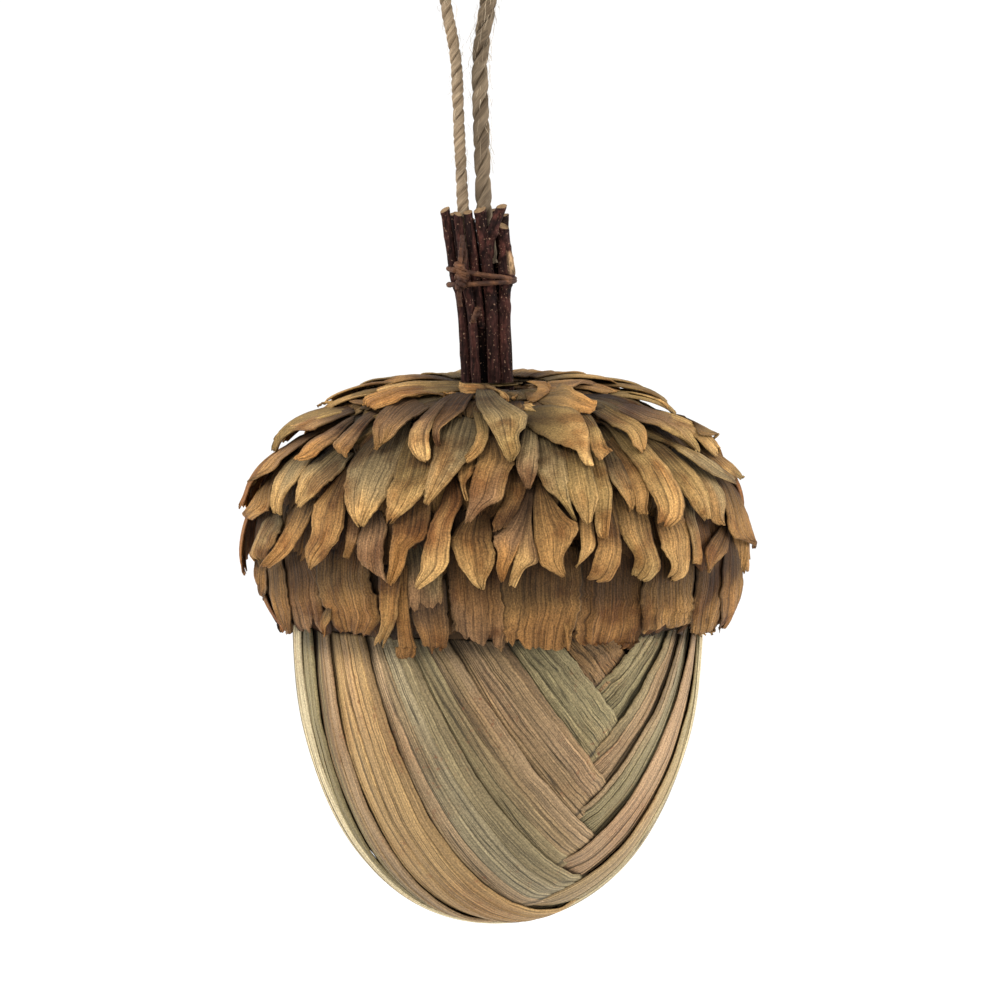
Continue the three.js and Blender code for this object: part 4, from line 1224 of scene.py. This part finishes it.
# The twigs: places along each from its cut top down, from the middle of the cap form's top. Each place
# is left or right, depth and height. Then come its radius, how its top slants and how it swells.
TWIGS = {
    "left": ([(-13.1, -2.3, 46.5), (-10.7, -1.3, 30), (-8.8, -2.2, 21), (-7.2, -2.7, -9)], 0.85, 0.5, 0),
    "torn": ([(-9.9, -3.4, 45.5), (-8.1, -3.9, 30), (-6.2, -4, 18), (-4.7, -3.6, -9)], 0.8, -0.3, 0.2),
    "slim": ([(-7.4, -2.9, 45.9), (-5.5, -2.8, 30), (-4.2, -2.5, 19), (-3.9, -2.4, 17)], 0.85, 0.2, 0),
    "right": ([(1.3, -2.6, 42.5), (2.3, -2.3, 31), (1.7, -2.6, 21), (3, -2.8, -9)], 1.1, -0.3, 0.4),
    "behind_1": ([(-10.6, 2.8, 45.5), (-8.6, 2.8, 30), (-7, 2.8, 20), (-6, 2.8, -9)], 1.1, 0.2, 0),
    "behind_2": ([(-7.4, 2.9, 44.5), (-5.6, 2.9, 30), (-4.2, 2.9, 20), (-3.2, 2.9, -9)], 1.15, -0.3, 0),
    "behind_3": ([(-1.9, 2.9, 46.1), (-2.4, 2.9, 30), (-1.4, 2.9, 20), (-0.4, 2.9, -9)], 1.2, 0.3, 0),
    "behind_4": ([(1.2, 2.7, 45), (0.6, 2.7, 30), (1.4, 2.7, 20), (2.4, 2.7, -9)], 1.1, 0.2, 0),
    "forked": ([(-4.4, -3, 46.5), (-2.3, -3, 30), (-1.4, -3, 20), (-0.3, -3, -9)], 1.12, 0.3, 0),
}
FORK_BRANCH = ([(1, -4.2, 47.3), (-0.7, -3.8, 42.9), (-2, -3.3, 38.5), (-2.4, -3, 34.5)], 1, 0.2, 0)
BARK, BARK_RED, CUT_WOOD = linear(22, 13, 12), linear(50, 27, 22), linear(160, 130, 96)
STEM_BASE = NUT_MIDDLE + Vector((0, 0, CAP_TOP))
TWIG_STEPS, TWIG_SIDES, TWIG_SCARS = 70, 16, 5
NODE_PLACE, NODE_SPREAD = 0.32, 0.1  # shares of the twig's length


def add_twig(shell, form, seed):
    line, radius, slant, node = form
    behind = line[0][1] > 0
    thick, tilt = (1.5, 0.2) if behind else (1.34, 0.45)
    steps = TWIG_STEPS
    dense = smooth_line(line, steps)
    length = sum((b - a).length for a, b in zip(dense, dense[1:]))
    rows = [(0, 0), (0, 0.5), (0, 0.86), (0, 0.97), *((k, 1) for k in range(steps + 1)), (steps, 0.5),
            (steps, 0)]
    picks = random.Random(seed)
    scars = [picks.uniform(6, length - 6) for _ in range(TWIG_SCARS)]

    def place(i, j):
        step, full = rows[j]
        share = step / steps
        around = 2 * math.pi * i / TWIG_SIDES
        swell = 1 + node * math.exp(-(((share - NODE_PLACE) / NODE_SPREAD) ** 2))
        swell += sum(0.1 * math.exp(-(((share * length - scar) / 0.7) ** 2)) for scar in scars)
        swell += 0.07 * ripple(share * length * 0.35, math.cos(around) * 1.3, seed)
        swell += 0.035 * ripple(around * 2.4, share * length * 0.5, seed + 1)
        size = thick * radius * (1 + 0.06 * share) * swell * full
        x, y = math.cos(around) * size, math.sin(around) * size
        lift = slant * x + tilt * y if step < 2 else 0
        sink = 0.12 if full < 0.9 and step == 0 else 0
        return dense[step] + Vector((x, y, lift - sink)) + STEM_BASE

    def paint(i, j):
        step, full = rows[j]
        if full < 0.98 and step == 0:
            return CUT_WOOD * (0.4 + 0.35 * chance(i, j + seed)), 0
        red = 0.5 + 0.8 * ripple(step * 0.12, i * 0.3, seed + 5)
        colour = BARK.lerp(BARK_RED, clamp(red, 0, 1))
        if node > 0.25 and 12 < step < 25 and 12 < i:
            return colour.lerp(CUT_WOOD * 0.55, 0.8 * math.sin(math.pi * (step - 12) / 13) ** 0.5), 1
        # Painted shade on the front side of the twigs behind, so the gaps between the front twigs read dark.
        shaded_side = behind and math.sin(2 * math.pi * i / TWIG_SIDES) < 0.3
        return colour * (0.3 if shaded_side else 1), 1

    add_tube(shell, TWIG_SIDES, shares(len(rows) - 1), place, paint, (7, length))


def make_twigs(material):
    for k, (name, form) in enumerate(TWIGS.items()):
        shell = new_shell()
        add_twig(shell, form, 40 + k)
        if name == "forked":
            add_twig(shell, FORK_BRANCH, 60)
        make_piece(f"stem_twig_{name}", shell, material, [f"twig_{name}"])


# The wire's two turns, from the same point as the twigs: heights at its left and right.
TIE_MIDDLE = Vector((-4, -0.5, 0))
TIE_HALF_WIDTH, TIE_HALF_DEPTH = 8.2, 6.4
TIE_LEVELS = [(31.8, 29.3), (27.8, 28.8)]
TIE_STEPS, TIE_START = 120, math.radians(200)
WIRE_RADIUS, WIRE_SIDES = 0.64, 12
KNOT_STEPS, KNOT_TURNS = 40, 2.2
KNOT = [(-9.4, -6.5, 33.2), (-8.9, -6.7, 30), (-9.3, -6.5, 27)]
TAILS = [[(-8.6, -5.9, 40.3), (-9, -6.2, 36.5), (-9.4, -6.6, 32.4)],
         [(-9.3, -6.6, 27.8), (-9.5, -6.1, 25.2), (-9.3, -5.6, 22.6)]]
# Knots of its crumpled paper: middle, reach, number of turns and the strand's radius.
TANGLES = [((-9.2, -6.6, 30.6), (1.7, 0.6, 2.2), 9, 0.6),
           ((-8.5, -5.6, 35.4), (0.8, 0.3, 3.4), 7, 0.45),
           ((-5.2, -5.2, 20.6), (1, 0.4, 1.9), 7, 0.55)]


def add_wire(shell, line, radius, seed, crumple=0.16):
    steps = len(line) - 1
    rows = [(0, 0), (0, 0.7), *((k, 1) for k in range(steps + 1)), (steps, 0.7), (steps, 0)]

    def place(i, j):
        step, full = rows[j]
        ahead = (line[min(step + 1, steps)] - line[max(step - 1, 0)]).normalized()
        side = ahead.orthogonal() if abs(ahead.z) > 0.7 else ahead.cross(Vector((0, 0, 1)))
        side.normalize()
        up = side.cross(ahead)
        around = 2 * math.pi * i / WIRE_SIDES
        size = radius * full * (1 + crumple * ripple(step * 0.35, around * 1.1, seed)
                                + crumple * ripple(step * 0.9, around * 2, seed + 1))
        return line[step] + (side * math.cos(around) + up * math.sin(around)) * size + STEM_BASE

    add_tube(shell, WIRE_SIDES, shares(len(rows) - 1), place, lambda i, j: (BARK_RED, 1), (4, steps))


def add_tangle(shell, middle, reach, turns, radius, seed):
    """A strand crumpled into a knot that reaches so far from its middle."""
    picks = random.Random(seed)
    points = [Vector(middle) + Vector([picks.uniform(-1, 1) * r for r in reach]) for _ in range(turns)]
    add_wire(shell, smooth_line(points, turns * 9), radius, seed, 0.5)


def make_wire(material):
    shell = new_shell()
    for turn, (left, right) in enumerate(TIE_LEVELS):
        ring = []
        for step in range(TIE_STEPS + 1):
            angle = 2 * math.pi * step / TIE_STEPS + TIE_START
            level = (left + right) / 2 + (right - left) / 2 * math.cos(angle)
            level += 0.15 * ripple(step * 0.1, turn, 3)
            ring.append(TIE_MIDDLE + Vector(
                (TIE_HALF_WIDTH * math.cos(angle), TIE_HALF_DEPTH * math.sin(angle), level)))
        add_wire(shell, ring, WIRE_RADIUS, 70 + turn)
    middle = smooth_line(KNOT, KNOT_STEPS)
    for strand in (0, 1):
        twisted = []
        for step, point in enumerate(middle):
            angle = step / KNOT_STEPS * 2 * math.pi * KNOT_TURNS + math.pi * strand
            twisted.append(point + Vector((math.cos(angle), math.sin(angle), 0)) * 0.65)
        add_wire(shell, twisted, 0.75, 75 + strand, 0.3)
    for k, tail in enumerate(TAILS):
        add_wire(shell, smooth_line(tail, 24), 0.62, 80 + k, 0.25)
    for k, tangle in enumerate(TANGLES):
        add_tangle(shell, *tangle, 91 + k)
    make_piece("wire_tie_turns", shell, material, ["wire_tie"])


def make_stage():
    scene = bpy.context.scene
    scene.view_settings.view_transform = "Standard"
    world = bpy.data.worlds.new("studio")
    world.use_nodes = True
    sky = world.node_tree.nodes["Background"].inputs
    sky["Color"].default_value = (1, 1, 1, 1)
    sky["Strength"].default_value = 1.06
    scene.world = world
    ground = bmesh.new()
    bmesh.ops.create_grid(ground, x_segments=8, y_segments=8, size=200)
    bmesh.ops.translate(ground, vec=(0, 0, -0.5), verts=ground.verts)
    mesh = bpy.data.meshes.new("floor")
    ground.to_mesh(mesh)
    ground.free()
    mesh.materials.append(floor_finish())
    floor = add_object("floor", mesh)
    add_lamp("key", (-0.9, -1.1, 1.1), 0.7, 24)
    add_lamp("fill", (1.2, -1.1, 0.4), 1.0, 12)
    add_lamp("left_edge", (-1.3, 0.15, 0.1), 0.8, 11)
    add_lamp("right_edge", (1.3, 0.15, 0.1), 0.8, 14)


set_camera()
make_stage()
make_twine(jute_finish())
husk = husk_finish()
belt_side = direction(BELT_TURN + 90, 90)
make_strips("husk", FRONT_LEFT, FRONT_RIGHT, 0, belt_side, husk, lambda name, k: FOLDS[name], True)
make_strips("husk_back", BACK_LEFT, BACK_RIGHT, 180, -belt_side, husk,
            lambda name, k: FOLDS[f"back_{k % 3}"], False)
make_belt(belt_side, husk)
make_petals(petal_finish())
make_twigs(bark_finish())
make_wire(paper_wire_finish())
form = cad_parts["form"]
form.data.materials.clear()
form.data.materials.append(form_finish())
